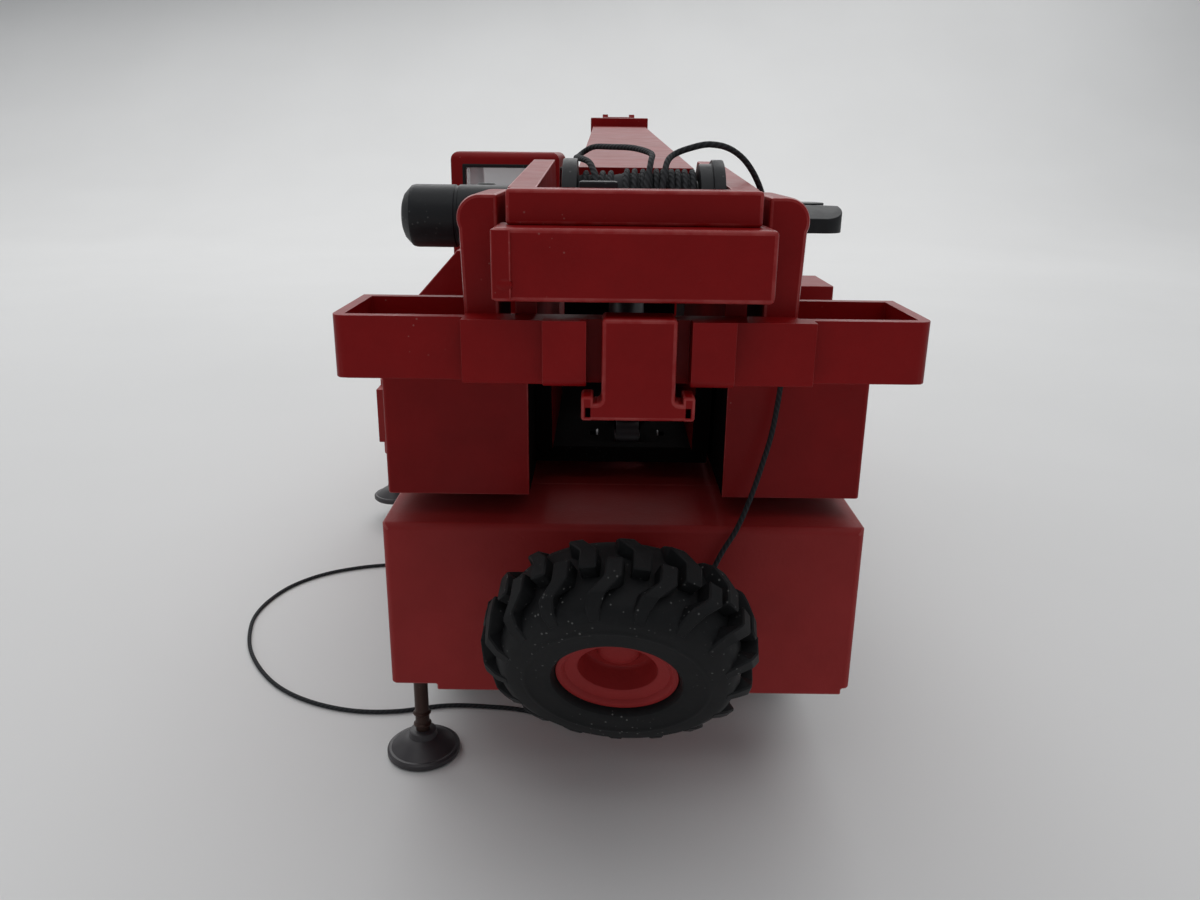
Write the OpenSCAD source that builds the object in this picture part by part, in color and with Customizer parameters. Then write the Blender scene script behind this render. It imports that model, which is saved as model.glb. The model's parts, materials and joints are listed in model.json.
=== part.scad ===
// Scale model of a two-axle telescopic crane, shown as a folded set of real pieces.
// Millimetres, +Z up, +Y towards the front of the crane.  The origin is the slewing
// axis on the ground.  Lengths along the crane are laid out forward from the rear
// face of the carrier and moved to the origin at the very end by place().

/* [Carrier] */
// Width over the outrigger boxes and over the tyres
carrier_w = 55; // [46:0.5:66]
// Rear face of the carrier to the slewing axis
slew_from_rear = 60; // [58:0.5:66]
// Length of the rear outrigger box
rear_box_len = 14; // [12:0.5:16.5]
// Underside of the outrigger boxes above the ground
box_low = 14.4; // [14:0.2:15.6]
// Top of the rear outrigger box and of the deck
deck_top = 35.1; // [35:0.1:40]
// Thickness of the deck plate
deck_t = 1.6; // [1.3:0.1:2]
// Width of the chassis frame
frame_w = 20; // [17:0.5:24]
// Rear axle, forward of the rear face
rear_axle_y = 33; // [31:0.5:34]
// Distance between the axles
wheelbase = 84; // [80:1:96]
// Rear face of the front outrigger box
front_box_y = 82; // [78:0.5:84]
// Length of the front outrigger box
front_box_len = 13; // [12:0.5:14]
// Front overhang beyond the front axle
front_overhang = 55; // [51:1:66]

/* [Wheels] */
// Radius over the tread lugs
wheel_r = 14.25; // [12:0.25:15]
// Width of a tyre
tyre_w = 9.6; // [8:0.2:11.5]
// Radius of the rim where the bead sits
rim_r = 6.35; // [5.3:0.05:7.6]
// Radius of the axle stubs
stub_r = 1.2; // [1:0.05:1.45]
// Downward lean of the spare wheel on its stub
spare_lean = 28; // [20:1:32]
// Sideways turn of the spare wheel on its stub
spare_turn = 5; // [0:1:8]
// Sideways place of the middle of the spare wheel
spare_x = -0.5; // [-1:0.1:1]
// Height of the middle of the spare wheel
spare_z = 26.9; // [25:0.1:29]
// Distance of that middle behind the rear face of the carrier
spare_back = 12.2; // [11:0.2:14.6]

/* [Outriggers] */
// Height of a telescoping outrigger beam
beam_h = 11; // [9:0.5:12]
// Underside of the beams above the ground
beam_low = 18.5; // [18:0.1:20]
// Sideways travel of an outrigger beam
beam_reach = 20.6; // [18:0.2:26]
// Radius of a jack rod
jack_r = 0.9; // [0.8:0.05:1.1]
// Radius of a foot plate
foot_r = 4.7; // [3.9:0.1:5.6]
// Thickness of the foot plate's rim
foot_rim = 0.9; // [0.7:0.1:1.1]
// Height of a foot plate with its domed top
foot_h = 3.4; // [2.8:0.1:3.8]
// Vertical travel of a jack
jack_travel = 10.2; // [8:0.2:10.2]
// Height that the front left foot hangs above the ground
front_foot_up = 4.6; // [0:0.2:7]

/* [Superstructure] */
// Width over the side housings
upper_w = 54.6; // [46:0.2:62]
// Clear width between the side housings
tunnel_w = 21.8; // [21.6:0.2:23]
// Clearance from the deck up to the side housings
upper_gap = 2.4; // [2.2:0.1:3]
// Rear face of the side housings, forward of the carrier's rear face
housing_rear = 3.4; // [3.2:0.2:4]
// Top of the side housings
housing_top = 55.1; // [54:0.1:58]
// Thickness of the turntable's base plate
base_t = 2; // [1.6:0.1:2.4]
// Radius of the slewing ring
ring_r = 14; // [12:0.5:17]
// Radius of the slewing spigot in the deck
spigot_r = 6; // [5:0.25:7]
// Half width over the cheek plates
cheek_out = 16.1; // [15.4:0.1:17]
// Half width between the cheek plates
cheek_in = 12.3; // [12.1:0.1:12.8]
// Top of the cheek plates
cheek_top = 71.8; // [71:0.1:74]
// Overhang of the cheek plates behind the carrier's rear face
cheek_back = 11; // [10:0.2:12]
// Overhang of the counterweight behind the carrier's rear face
weight_back = 17; // [15.5:0.5:18]
// Height of the counterweight slab
weight_h = 6.3; // [5.4:0.1:6.8]
// Underside of the counterweight slab
weight_z = 63; // [62.4:0.1:63.6]

/* [Counterweight tray] */
// Half width over the tray's wings
tray_half = 27.7; // [24:0.1:30]
// Wall thickness of the tray
tray_wall = 1.1; // [0.9:0.1:1.3]
// Height of the tray
tray_h = 5.9; // [5.2:0.1:6.4]
// Overhang of the wings behind the carrier's rear face
tray_back = 13; // [12.8:0.1:14]
// Width of the coupling block between the tray's lugs
coupling_w = 6.6; // [5.6:0.2:7.4]
// Sideways place of the coupling block and its lugs
coupling_x = 0.6; // [-0.8:0.1:0.8]

/* [Boom] */
// Sideways offset of the boom from the middle of the crane
boom_x = 0.8; // [0:0.1:1]
// Width of the base section
boom_w = 12.6; // [11:0.2:13]
// Depth of the base section
boom_d = 13.9; // [12:0.1:15]
// Wall thickness of the boom sections
boom_wall = 1; // [0.8:0.1:1.2]
// Running clearance between two boom sections
boom_run = 0.1; // [0.08:0.01:0.15]
// Length of the base section from its pivot to its front end
boom_len = 128; // [104:1:152]
// Raised angle of the boom at rest
luff_rest = 3.2; // [0:0.1:6]
// Boom pivot, forward of the carrier's rear face
pivot_y = 18; // [17:0.5:19]
// Height of the boom pivot
pivot_z = 68.5; // [68:0.1:70]
// Radius of the boom pivot pin
pin_r = 1.2; // [1:0.05:1.4]

/* [Lift cylinder] */
// Distance from the boom pivot to both ends of the lift cylinder
lift_arm = 29.8; // [29:0.1:30.4]
// Steepness of the line from the boom pivot down to the foot pin
foot_ang = 82; // [80:0.5:84]
// Drop of the lug pin below the boom pivot, square to the boom
lug_drop = 10; // [9.8:0.1:10.6]
// Outer radius of the barrel
barrel_r = 2.6; // [2.3:0.1:2.8]
// Radius of the rod
rod_r = 1.4; // [1.2:0.05:1.6]

/* [Winch] */
// Winch axis, behind the carrier's rear face
winch_back = 4.5; // [4.2:0.1:4.8]
// Height of the winch axis
winch_z = 69.9; // [69.5:0.1:70.5]
// Radius of the drum's flanges
flange_r = 5; // [4.2:0.1:5.2]
// Thickness of the rope
rope_d = 0.6; // [0.5:0.05:0.7]

/* [Hidden] */

// clearances that every fit is made with
run = 0.05;      // radial running clearance of a shaft in its bore
slip = 0.2;      // side clearance of a sliding or swinging piece
$fn = 48;

// carrier
half_w = carrier_w / 2;
deck_low = deck_top - deck_t;
spine_t = 2;
spine_low = deck_low - spine_t;
frame_low = 19;
front_axle_y = rear_axle_y + wheelbase;
front_box_end = front_box_y + front_box_len;
bumper_t = 3;
nose_y = front_axle_y + front_overhang;
wheel_in = half_w - tyre_w;
axle_r = 2.2;
king_x = wheel_in - 4.9;
king_r = 0.8;
rim_disc = 1.6;
bead_in = 1.1;

// outrigger boxes
box_wall = 1.2;
jack_x = half_w - 2;
jack_tube_r = 2;
jack_slot = jack_tube_r + slip;
beam_t = (min(rear_box_len, front_box_len) - 2 * box_wall) / 2 - 2 * slip;
beam_top = beam_low + beam_h;
beam_len = half_w + 18.7;
rear_box_mid = rear_box_len / 2;
front_box_mid = front_box_y + front_box_len / 2;
foot_neck_r = 1.5;

// superstructure
upper_low = deck_top + upper_gap;
base_top = upper_low + base_t;
tunnel = tunnel_w / 2;
upper_half = upper_w / 2;
plate_in = 8.8;
plate_out = tunnel;
rail_out = 11.4;
rail_low = 64;
plate_back = 10.5;
plate_rise = 2.1;
rail_top = weight_z + weight_h + 3.1;
hood_rear = 24;
hood_mid = 54;
hood_front = 80;
right_hood_len = 11;
right_hood_h = 4.1;
tray_z = housing_top;
floor_t = 1;
cover_half = 11.3;
cover_back = 14;
silencer_r = 3.25;
silencer_out = 23.9;
silencer_z = cheek_top - 3;

// boom, in its own frame: u forward from the pivot, v up, then leaned by luff_rest
boom_low_v = -8;
boom_top_v = boom_low_v + boom_d;
boom_tail = 9;
collar_t = 4;
collar_up = 1.9;
step_out = 6;
mid_w = boom_w - 2 * boom_wall - 2 * boom_run;
mid_d = boom_d - 2 * boom_wall - 2 * boom_run;
tip_w = mid_w - 2 * boom_wall - 2 * boom_run;
tip_d = mid_d - 2 * boom_wall - 2 * boom_run;
mid_low_v = boom_low_v + boom_wall + boom_run;
tip_low_v = mid_low_v + boom_wall + boom_run;
mid_from = 14;
tip_from = 20;
mid_to = boom_len + step_out;
tip_to = mid_to + step_out;
head_len = 11;
sheave_r = 3.4;
sheave_t = 1.5;
sheave_u = tip_to + 6.4;
sheave_v = tip_low_v + 2.6;
head_half = tip_w / 2;

// lift cylinder: both pins lie at lift_arm from the boom pivot, so the barrel turns
// by half of the luffing angle and the rod stays in line with it
lug_ang = luff_rest - asin(lug_drop / lift_arm);
foot_y = pivot_y + lift_arm * cos(foot_ang);
foot_z = pivot_z - lift_arm * sin(foot_ang);
lug_y = pivot_y + lift_arm * cos(lug_ang);
lug_z = pivot_z + lift_arm * sin(lug_ang);
lift_ang = atan2(lug_z - foot_z, lug_y - foot_y);
lift_span = norm([lug_y - foot_y, lug_z - foot_z]);
luff_down = 3;
lift_closed = 2 * lift_arm * sin((foot_ang + lug_ang - luff_down) / 2);
eye_t = 3;
foot_pin_r = 1;
lug_pin_r = 0.8;
barrel_len = lift_closed - 3.3;
rod_len = lift_closed - 3.6;

// winch along X
drum_left = -6.6;
drum_right = 8.6;
core_r = 3;
shaft_r = 1;
motor_x = [-5, -1.4];

// The rope that has come loose from the drum: up in a hump, over the right rear
// corner, down behind the tray, over the rear face and out on the ground.
tail_route = [[2.6, -8.7, 71.9], [2.9, -7.7, 73.4], [3.2, -6.2, 74.6], [3.9, -4.6, 75.3],
    [5.4, -4.1, 75.9], [7.5, -3.6, 76.3], [9.8, -2.2, 75.8],
    [11.8, -0.9, 74.2], [13.6, 0.9, 71.2], [15, 1.6, 66], [16.3, 1.6, 60], [17, 1.6, 54],
    [16.4, 1.2, 47], [15.2, 0.6, 42], [13.9, -0.1, 38], [12.6, -0.7, 35], [11, -0.8, 32],
    [9, -0.8, 27], [6.6, -0.8, 21], [4.2, -0.8, 15], [3.4, -0.6, 12.6], [1.6, 1.4, 9],
    [-1, 4.6, 5], [-4.2, 9, 2.2], [-8.6, 13.6, 0.5], [-13, 16, 0.3], [-17.6, 16.8, 0.3],
    [-24, 17, 0.3], [-31, 15.4, 0.3],
    [-37, 15.4, 0.3], [-43, 17.2, 0.3], [-48.4, 20.4, 0.3], [-53, 25, 0.3], [-57, 31, 0.3],
    [-59.4, 37, 0.3], [-60.6, 43, 0.3], [-60, 49, 0.3], [-57.8, 54.6, 0.3],
    [-53.4, 59.4, 0.3], [-47, 62.6, 0.3], [-40, 64, 0.3], [-32, 64, 0.3], [-24, 63, 0.3],
    [-16, 62.4, 0.3], [-9, 63.4, 0.3]];
// The slack loop that stands up from the drum and leans over the boom's tail
loop_route = [[1.2, -8.7, 71.9], [1.4, -7.7, 73.4], [1.7, -6, 74.7], [1.8, -3, 75.4],
    [0.2, 1.6, 75.9], [-2, 5.6, 76], [-3.8, 8.6, 76], [-4.9, 9.8, 75.5], [-5.5, 8.4, 75],
    [-5.6, 4, 74.9], [-5.4, -0.6, 74.9], [-4.7, -3.6, 74.8], [-4, -5.7, 74.4],
    [-3.5, -7.7, 73.2], [-3.4, -8.6, 71.8]];
tail_rings = 60;
loop_rings = 20;
rope_sides = 8;
knot_r = 0.8;

// ---------------------------------------------------------------- helpers

// Moves a piece from the layout, which starts at the rear face, to the slewing axis
module place() translate([0, -slew_from_rear, 0]) children();

// A block between two opposite corners
module block(a, b) translate(a) cube(b - a);

// A round bar along X
module bar_x(r, x0, x1, y, z) translate([x0, y, z]) rotate([0, 90, 0]) cylinder(r = r, h = x1 - x0);

// A plate along X whose outline is drawn in the Y-Z plane
module slab_x(outline, x0, x1)
    translate([x0, 0, 0]) rotate([90, 0, 90]) linear_extrude(x1 - x0) polygon(outline);

// A rail along Y whose outline is drawn in the X-Z plane
module slab_y(outline, y0, y1)
    translate([0, y1, 0]) rotate([90, 0, 0]) linear_extrude(y1 - y0) polygon(outline);

// Puts a piece on the left (-1) or on the right (+1)
module side(s) if (s < 0) mirror([1, 0, 0]) children(); else children();

// Frame of the boom: X across, Y along the boom, Z up from the pivot
module boom_frame() translate([boom_x, pivot_y, pivot_z]) rotate([luff_rest, 0, 0]) children();

// Frame of the lift cylinder: X across, Y from the foot pin to the lug pin
module lift_frame() translate([boom_x, foot_y, foot_z]) rotate([lift_ang, 0, 0]) children();

// Frame of the spare wheel: its inner face at Z 0 and Z along its stub, away from the carrier
module spare_frame() translate([spare_x, -spare_back, spare_z]) rotate([0, 0, -spare_turn])
    rotate([90 + spare_lean, 0, 0]) translate([0, 0, -tyre_w / 2]) children();

// ---------------------------------------------------------------- carrier

module chassis_frame() color("firebrick") difference() {
    union() {
        block([-frame_w / 2, rear_box_len, spine_low],
            [frame_w / 2, nose_y, deck_low]);
        block([-frame_w / 2, rear_box_len, frame_low], [frame_w / 2, front_box_y, spine_low]);
        block([-frame_w / 2, front_box_end, frame_low],
            [frame_w / 2, nose_y, spine_low]);
    }
    translate([0, slew_from_rear, spine_low - 1]) cylinder(r = spigot_r + 1.6, h = deck_t + spine_t + 1);
}

module carrier_deck() color("firebrick") difference() {
    block([-half_w, rear_box_len, deck_low], [half_w, front_axle_y + 16, deck_top]);
    translate([0, slew_from_rear, deck_low - 1]) cylinder(r = spigot_r + run, h = deck_t + 2);
}

// One outrigger box with the channel for its two beams and slots for the jacks
module outrigger_box(y, len, top) difference() {
    block([-half_w, y, box_low], [half_w, y + len, top]);
    block([-half_w - 1, y + box_wall, beam_low - slip],
        [half_w + 1, y + len - box_wall, beam_top + slip]);
    for (s = [-1, 1]) side(s) {
        block([jack_x - jack_slot, y + len / 2 - jack_slot, box_low - 1],
            [half_w + 1, y + len / 2 + jack_slot, beam_low]);
        block([jack_x - jack_slot, y + len / 2 - jack_slot, beam_top],
            [half_w + 1, y + len / 2 + jack_slot, beam_top + 1.6]);
    }
}

module rear_outrigger_box() color("firebrick") union() {
    outrigger_box(0, rear_box_len, deck_top);
    block([-half_w + 5.5, 0, box_low - 0.8], [half_w - 1, 1, box_low]);
}

module front_outrigger_box() color("firebrick")
    outrigger_box(front_box_y, front_box_len, spine_low);

// A beam with its upright jack tube; s is its side, y the middle of its box,
// lane is -1 for the rear half of the channel and +1 for the front half
module outrigger_beam(s, y, lane, out) side(s) translate([out, 0, 0]) difference() {
    union() {
        block([half_w - 0.2 - beam_len, y + (lane < 0 ? -beam_t - slip : slip), beam_low],
            [half_w - 0.2, y + (lane < 0 ? -slip : beam_t + slip), beam_top]);
        translate([jack_x, y, box_low + 0.4])
            cylinder(r = jack_tube_r, h = beam_top + 1.2 - box_low - 0.4);
    }
    translate([jack_x, y, box_low]) cylinder(r = jack_r + run, h = beam_top - box_low);
}

module rear_left_beam() color("firebrick") outrigger_beam(-1, rear_box_mid, -1, 0);
module rear_right_beam() color("firebrick") outrigger_beam(1, rear_box_mid, 1, 0);
module front_left_beam() color("firebrick") outrigger_beam(-1, front_box_mid, -1, beam_reach);
module front_right_beam() color("firebrick") outrigger_beam(1, front_box_mid, 1, 0);

// A jack rod; up is how far it is drawn in from standing on the ground
module jack_rod(s, y, out, up) side(s) translate([jack_x + out, y, foot_h + up])
    cylinder(r = jack_r, h = beam_top - foot_h - jack_travel - 0.6);

module rear_left_jack() color("saddlebrown") jack_rod(-1, rear_box_mid, 0, 0);
module rear_right_jack() color("saddlebrown") jack_rod(1, rear_box_mid, 0, jack_travel);
module front_left_jack() color("saddlebrown") jack_rod(-1, front_box_mid, beam_reach, front_foot_up);
module front_right_jack() color("saddlebrown") jack_rod(1, front_box_mid, 0, jack_travel);

// A round foot plate with a rim and a domed top
module foot_plate(s, y, out, up) side(s) translate([jack_x + out, y, up])
    rotate_extrude() polygon([[0, 0], [foot_r, 0], [foot_r, foot_rim], [foot_r - 0.7, foot_rim + 0.5],
        [foot_neck_r + 0.8, foot_h - 0.9], [foot_neck_r, foot_h], [0, foot_h]]);

module rear_left_foot() color("black") foot_plate(-1, rear_box_mid, 0, 0);
module front_left_foot() color("black") foot_plate(-1, front_box_mid, beam_reach, front_foot_up);
module front_right_foot() color("black") foot_plate(1, front_box_mid, 0, jack_travel);

module rear_axle() color("dimgray") union() {
    bar_x(axle_r, -wheel_in + 0.4, wheel_in - 0.4, rear_axle_y, wheel_r);
    bar_x(stub_r, -half_w + 1.2, half_w - 1.2, rear_axle_y, wheel_r);
    for (s = [-1, 1]) side(s)
        block([5, rear_axle_y - 4, wheel_r], [frame_w / 2 - 0.5, rear_axle_y + 4, frame_low]);
}

module front_axle() color("dimgray") union() {
    bar_x(axle_r, -king_x + 2.6, king_x - 2.6, front_axle_y, wheel_r);
    for (s = [-1, 1]) side(s) {
        block([5, front_axle_y - 4, wheel_r], [king_x - 2.6, front_axle_y + 4, frame_low]);
        for (z = [wheel_r - 3.6, wheel_r + 2.2]) translate([0, 0, z])
            block([king_x - 3.4, front_axle_y - 1.6, 0], [king_x + 1.4, front_axle_y + 1.6, 1.4]);
        block([king_x - 3.4, front_axle_y - 1.6, wheel_r - 3.6],
            [king_x - 2.2, front_axle_y + 1.6, wheel_r + 3.6]);
        translate([king_x, front_axle_y, wheel_r - 3.6]) cylinder(r = king_r, h = 7.2);
    }
}

// The block that turns on the king pin and carries the wheel's stub
module knuckle(s) side(s) difference() {
    union() {
        translate([king_x, front_axle_y, wheel_r - 2]) cylinder(r = 1.8, h = 4);
        bar_x(stub_r, king_x, half_w - 1.2, front_axle_y, wheel_r);
        bar_x(1.9, king_x + 1, wheel_in - 0.4, front_axle_y, wheel_r);
    }
    translate([king_x, front_axle_y, wheel_r - 3]) cylinder(r = king_r + run, h = 6);
}

module left_knuckle() color("dimgray") knuckle(-1);
module right_knuckle() color("dimgray") knuckle(1);

// Tyre in the wheel's own frame: Z along the axle from the inner face, tread lugs included
module tyre() rotate_extrude($fn = 96) polygon([[rim_r, 0.9], [rim_r + 2.6, 0.2], [wheel_r - 3.4, 0],
    [wheel_r - 0.9, 1.1], [wheel_r, 2.4], [wheel_r, tyre_w - 2.4], [wheel_r - 0.9, tyre_w - 1.1],
    [wheel_r - 3.4, tyre_w], [rim_r + 2.6, tyre_w - 0.2], [rim_r, tyre_w - 0.9]]);

// Dished rim in the wheel's own frame, its face at tyre_w - bead_in
module rim() rotate_extrude($fn = 72) polygon([[stub_r + run, 1.6], [rim_r - 1.6, 1.6], [rim_r - 1.6, 1.2],
    [rim_r, 1.2], [rim_r, tyre_w - bead_in], [rim_r - 1.2, tyre_w - bead_in],
    [rim_r - 1.4, tyre_w - bead_in - 0.5], [rim_r - 2.4, tyre_w - bead_in - 0.6],
    [rim_r - 3.1, 3.4], [stub_r + 1, 3.4 + rim_disc], [stub_r + run, 3.4 + rim_disc]]);

// Puts a wheel on the left or right end of an axle, its outer face outwards
module on_axle(s, y) side(s) translate([wheel_in, y, wheel_r]) rotate([0, 90, 0]) children();

module rear_left_tyre() color("black") on_axle(-1, rear_axle_y) tyre();
module rear_right_tyre() color("black") on_axle(1, rear_axle_y) tyre();
module front_left_tyre() color("black") on_axle(-1, front_axle_y) tyre();
module front_right_tyre() color("black") on_axle(1, front_axle_y) tyre();
module rear_left_rim() color("firebrick") on_axle(-1, rear_axle_y) rim();
module rear_right_rim() color("firebrick") on_axle(1, rear_axle_y) rim();
module front_left_rim() color("firebrick") on_axle(-1, front_axle_y) rim();
module front_right_rim() color("firebrick") on_axle(1, front_axle_y) rim();
module spare_tyre() color("black") spare_frame() tyre();
module spare_rim() color("firebrick") spare_frame() rim();

// Flange and block on the rear face with the leaning stub that carries the spare wheel
module spare_wheel_bracket() color("firebrick") union() {
    block([spare_x - 4.5, -1, spare_z - 4], [spare_x + 4.5, 0, spare_z + 5.8]);
    block([spare_x - 3, 5.7 - spare_back, spare_z + 0.1], [spare_x + 3, 0, spare_z + 5.4]);
    spare_frame() translate([0, 0, -5]) cylinder(r = 2, h = 5 + 1.5);
    spare_frame() cylinder(r = stub_r, h = 3.4 + rim_disc - 0.6);
}

// Closed cab shell with window openings: outline in Y-Z between x0 and x1
module cab_shell(outline, inner, x0, x1, wall) difference() {
    slab_x(outline, x0, x1);
    slab_x(inner, x0 + wall, x1 - wall);
    children();
}

cab_wall = 1.1;
driver_half = half_w - 1.5;
driver_y = nose_y - 34;
driver_low = 20;
driver_top = 51.6;
driver_out = [[driver_y, driver_low], [nose_y, driver_low], [nose_y, 37], [nose_y - 5, driver_top],
    [driver_y, driver_top]];
driver_in = [[driver_y + cab_wall, deck_top + 1], [nose_y - cab_wall, deck_top + 1],
    [nose_y - cab_wall - 0.2, 37], [nose_y - 5.9, driver_top - cab_wall],
    [driver_y + cab_wall, driver_top - cab_wall]];

module driver_cab() color("firebrick") difference() {
    cab_shell(driver_out, driver_in, -driver_half, driver_half, cab_wall) {
        block([-driver_half - 1, driver_y + 8, 38.5], [driver_half + 1, nose_y - 9, 49]);
        block([-driver_half + 3, nose_y - 8, 38.5], [driver_half - 3, nose_y + 1, 49.4]);
        block([-driver_half + 5, driver_y - 1, 41], [driver_half - 5, driver_y + 3, 49]);
    }
    block([-frame_w / 2 - slip, driver_y - 1, driver_low - 1],
        [frame_w / 2 + slip, nose_y + 1, deck_low]);
}

module driver_cab_glazing() color("lightcyan") difference() {
    slab_x([for (p = driver_in) p + [p[0] < nose_y - 20 ? run : -run * 2, p[1] > 45 ? -run : run]],
        -driver_half + cab_wall + run, driver_half - cab_wall - run);
    slab_x([for (p = driver_in) p + [p[0] < nose_y - 20 ? 0.6 : -0.7, p[1] > 45 ? -0.6 : -2]],
        -driver_half + cab_wall + 0.6, driver_half - cab_wall - 0.6);
}

module front_bumper() color("firebrick") difference() {
    block([-half_w, nose_y, 13], [half_w, nose_y + bumper_t, 20.5]);
    for (s = [-1, 1]) side(s) translate([half_w - 6, nose_y + bumper_t + 1, 17]) rotate([90, 0, 0])
        cylinder(r = 1.8, h = 2.2);
}

// ---------------------------------------------------------------- superstructure

module turntable_ring() color("black") translate([0, slew_from_rear, 0]) rotate_extrude($fn = 72)
    polygon([[0, deck_low - 1.6], [spigot_r + 1.2, deck_low - 1.6], [spigot_r + 1.2, deck_low - 0.15],
        [spigot_r, deck_low - 0.15], [spigot_r, deck_top + 0.15], [ring_r, deck_top + 0.15],
        [ring_r, upper_low], [0, upper_low]]);

module turntable_frame() color("black") difference() {
    union() {
        block([-tunnel, 16, upper_low], [tunnel, hood_mid, base_top]);
        block([-upper_half, hood_mid, upper_low], [upper_half, slew_from_rear + 32, base_top]);
        block([-plate_in, hood_mid - 3.4, base_top], [plate_in, hood_mid - 2, housing_top - 1]);
        for (s = [-1, 1]) translate([boom_x, 0, 0]) side(s)
            slab_x([[foot_y - 4, base_top], [foot_y + 4, base_top], [foot_y + 1.7, foot_z + 1.7],
                [foot_y - 1.7, foot_z + 1.7]], eye_t / 2 + slip, eye_t / 2 + slip + 2.2);
    }
    block([boom_x - eye_t / 2 - slip, foot_y - 4, upper_low - 1],
        [boom_x + eye_t / 2 + slip, foot_y + 9, base_top + 1]);
    block([boom_x - barrel_r - 0.5, foot_y + 1.8, upper_low - 1],
        [boom_x + barrel_r + 0.5, foot_y + 9, base_top + 3]);
    bar_x(foot_pin_r, boom_x - 5, boom_x + 5, foot_y, foot_z);
}

// Upright plate that carries the boom pin and the winch shaft
module frame_plate(s) side(s) difference() {
    union() {
        slab_x([[14.4, base_top], [44, base_top], [pivot_y + 9, pivot_z - 6], [pivot_y + 9, rail_low + 3],
            [-plate_back, rail_low + 3], [-plate_back, housing_top + 2], [0, housing_top + 2],
            [12, housing_top - 3]], plate_in, plate_out);
        slab_x([[-plate_back, rail_low], [pivot_y + 9, rail_low],
            [pivot_y + 9, rail_top + plate_rise - 3], [pivot_y + 5, rail_top + plate_rise],
            [-plate_back, rail_top]], plate_in, rail_out);
    }
    bar_x(pin_r, plate_in - 1, rail_out + 1, pivot_y, pivot_z);
    bar_x(shaft_r + run, plate_in - 1, plate_in + 1.4, -winch_back, winch_z);
}

module frame_plates() color("firebrick") for (s = [-1, 1]) frame_plate(s);

module left_housing() color("firebrick") union() {
    block([-upper_half, housing_rear, upper_low], [-tunnel, hood_mid, housing_top]);
    slab_y([[-upper_half, housing_top], [-upper_half, housing_top + 1.7],
        [-upper_half + 5.8, housing_top + 8.1], [-rail_out, housing_top + 8.1],
        [-rail_out, housing_top]], hood_rear, hood_mid);
}

module right_housing() color("firebrick") slab_x([[housing_rear, upper_low], [hood_mid, upper_low],
    [hood_mid, base_top], [hood_front, base_top], [hood_front, housing_top],
    [hood_rear + right_hood_len, housing_top], [hood_rear + right_hood_len, housing_top + right_hood_h],
    [hood_rear, housing_top + right_hood_h], [hood_rear, housing_top], [housing_rear, housing_top]],
    rail_out, upper_half);

// Cheek plate with a rounded bulb along its top
module cheek(s) side(s) difference() {
    union() {
        slab_y([[cheek_in, tray_z + floor_t], [cheek_out - 0.6, tray_z + floor_t],
            [cheek_out - 0.2, cheek_top - 3.2], [cheek_out - 0.2, cheek_top - 2],
            [cheek_in, cheek_top - 2]], -cheek_back, 0);
        intersection() {
            translate([cheek_out - 2.2, 0, cheek_top - 2.2]) rotate([90, 0, 0])
                cylinder(r = 2.2, h = cheek_back);
            block([cheek_in, -cheek_back, cheek_top - 4], [cheek_out, 0, cheek_top]);
        }
        block([cheek_in, -cheek_back, cheek_top - 2.2], [cheek_out - 2.2, 0, cheek_top]);
    }
}

module cheek_plates() color("firebrick") for (s = [-1, 1]) cheek(s);

module counterweight() color("firebrick")
    block([-cheek_in, -weight_back, weight_z], [cheek_in, -plate_back, weight_z + weight_h]);

module rear_cover() color("firebrick")
    block([-cover_half, -cover_back, weight_z + weight_h], [cover_half, -plate_back, rail_top]);

// Tray with a hollow wing on each side and two lugs beside the coupling block
module counterweight_tray() color("firebrick") difference() {
    union() {
        block([-tray_half, -tray_back, tray_z], [tray_half, 0, tray_z + tray_h]);
        translate([coupling_x, 0, 0]) {
            block([-cheek_out, -tray_back - 1.5, tray_z], [cheek_out, -tray_back, tray_z + tray_h]);
            for (s = [-1, 1]) side(s) block([coupling_w / 2 + 1.4, -tray_back - 3.5, tray_z + 0.2],
                [coupling_w / 2 + 5.3, -tray_back - 1.5, tray_z + tray_h + 0.3]);
        }
    }
    translate([coupling_x, 0, 0]) block([-coupling_w / 2 - 1.4, -tray_back - 2, tray_z - 1],
        [coupling_w / 2 + 1.4, -tray_back - 0.5, tray_z + tray_h + 1]);
    for (s = [-1, 1]) side(s) block([cheek_out - 0.6, -tray_back + tray_wall, tray_z + floor_t],
        [tray_half - tray_wall, -tray_wall, tray_z + tray_h + 1]);
    block([-cheek_out, -cheek_back, tray_z + floor_t], [cheek_out, 1, tray_z + tray_h + 1]);
}

module coupling_bracket() color("firebrick") translate([coupling_x, 0, 0]) union() {
    block([-coupling_w / 2, -tray_back - 4.5, tray_z - 1],
        [coupling_w / 2, -tray_back - 0.5, tray_z + tray_h + 0.7]);
    block([-coupling_w / 2 - 1.8, -tray_back - 4.5, tray_z - 2.6],
        [coupling_w / 2 + 1.8, -tray_back - 1.5, tray_z - 1]);
}

crane_x0 = -upper_half - 0.3;
crane_x1 = -tunnel + 0.9;
crane_y0 = slew_from_rear;
crane_y1 = slew_from_rear + 32;
crane_top = 75.3;
crane_out = [[crane_y0, base_top], [crane_y1, base_top], [crane_y1, 58], [crane_y1 - 7, crane_top],
    [crane_y0, crane_top]];
crane_in = [[crane_y0 + cab_wall, base_top + cab_wall], [crane_y1 - cab_wall, base_top + cab_wall],
    [crane_y1 - cab_wall, 58], [crane_y1 - 7.8, crane_top - cab_wall],
    [crane_y0 + cab_wall, crane_top - cab_wall]];

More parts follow.
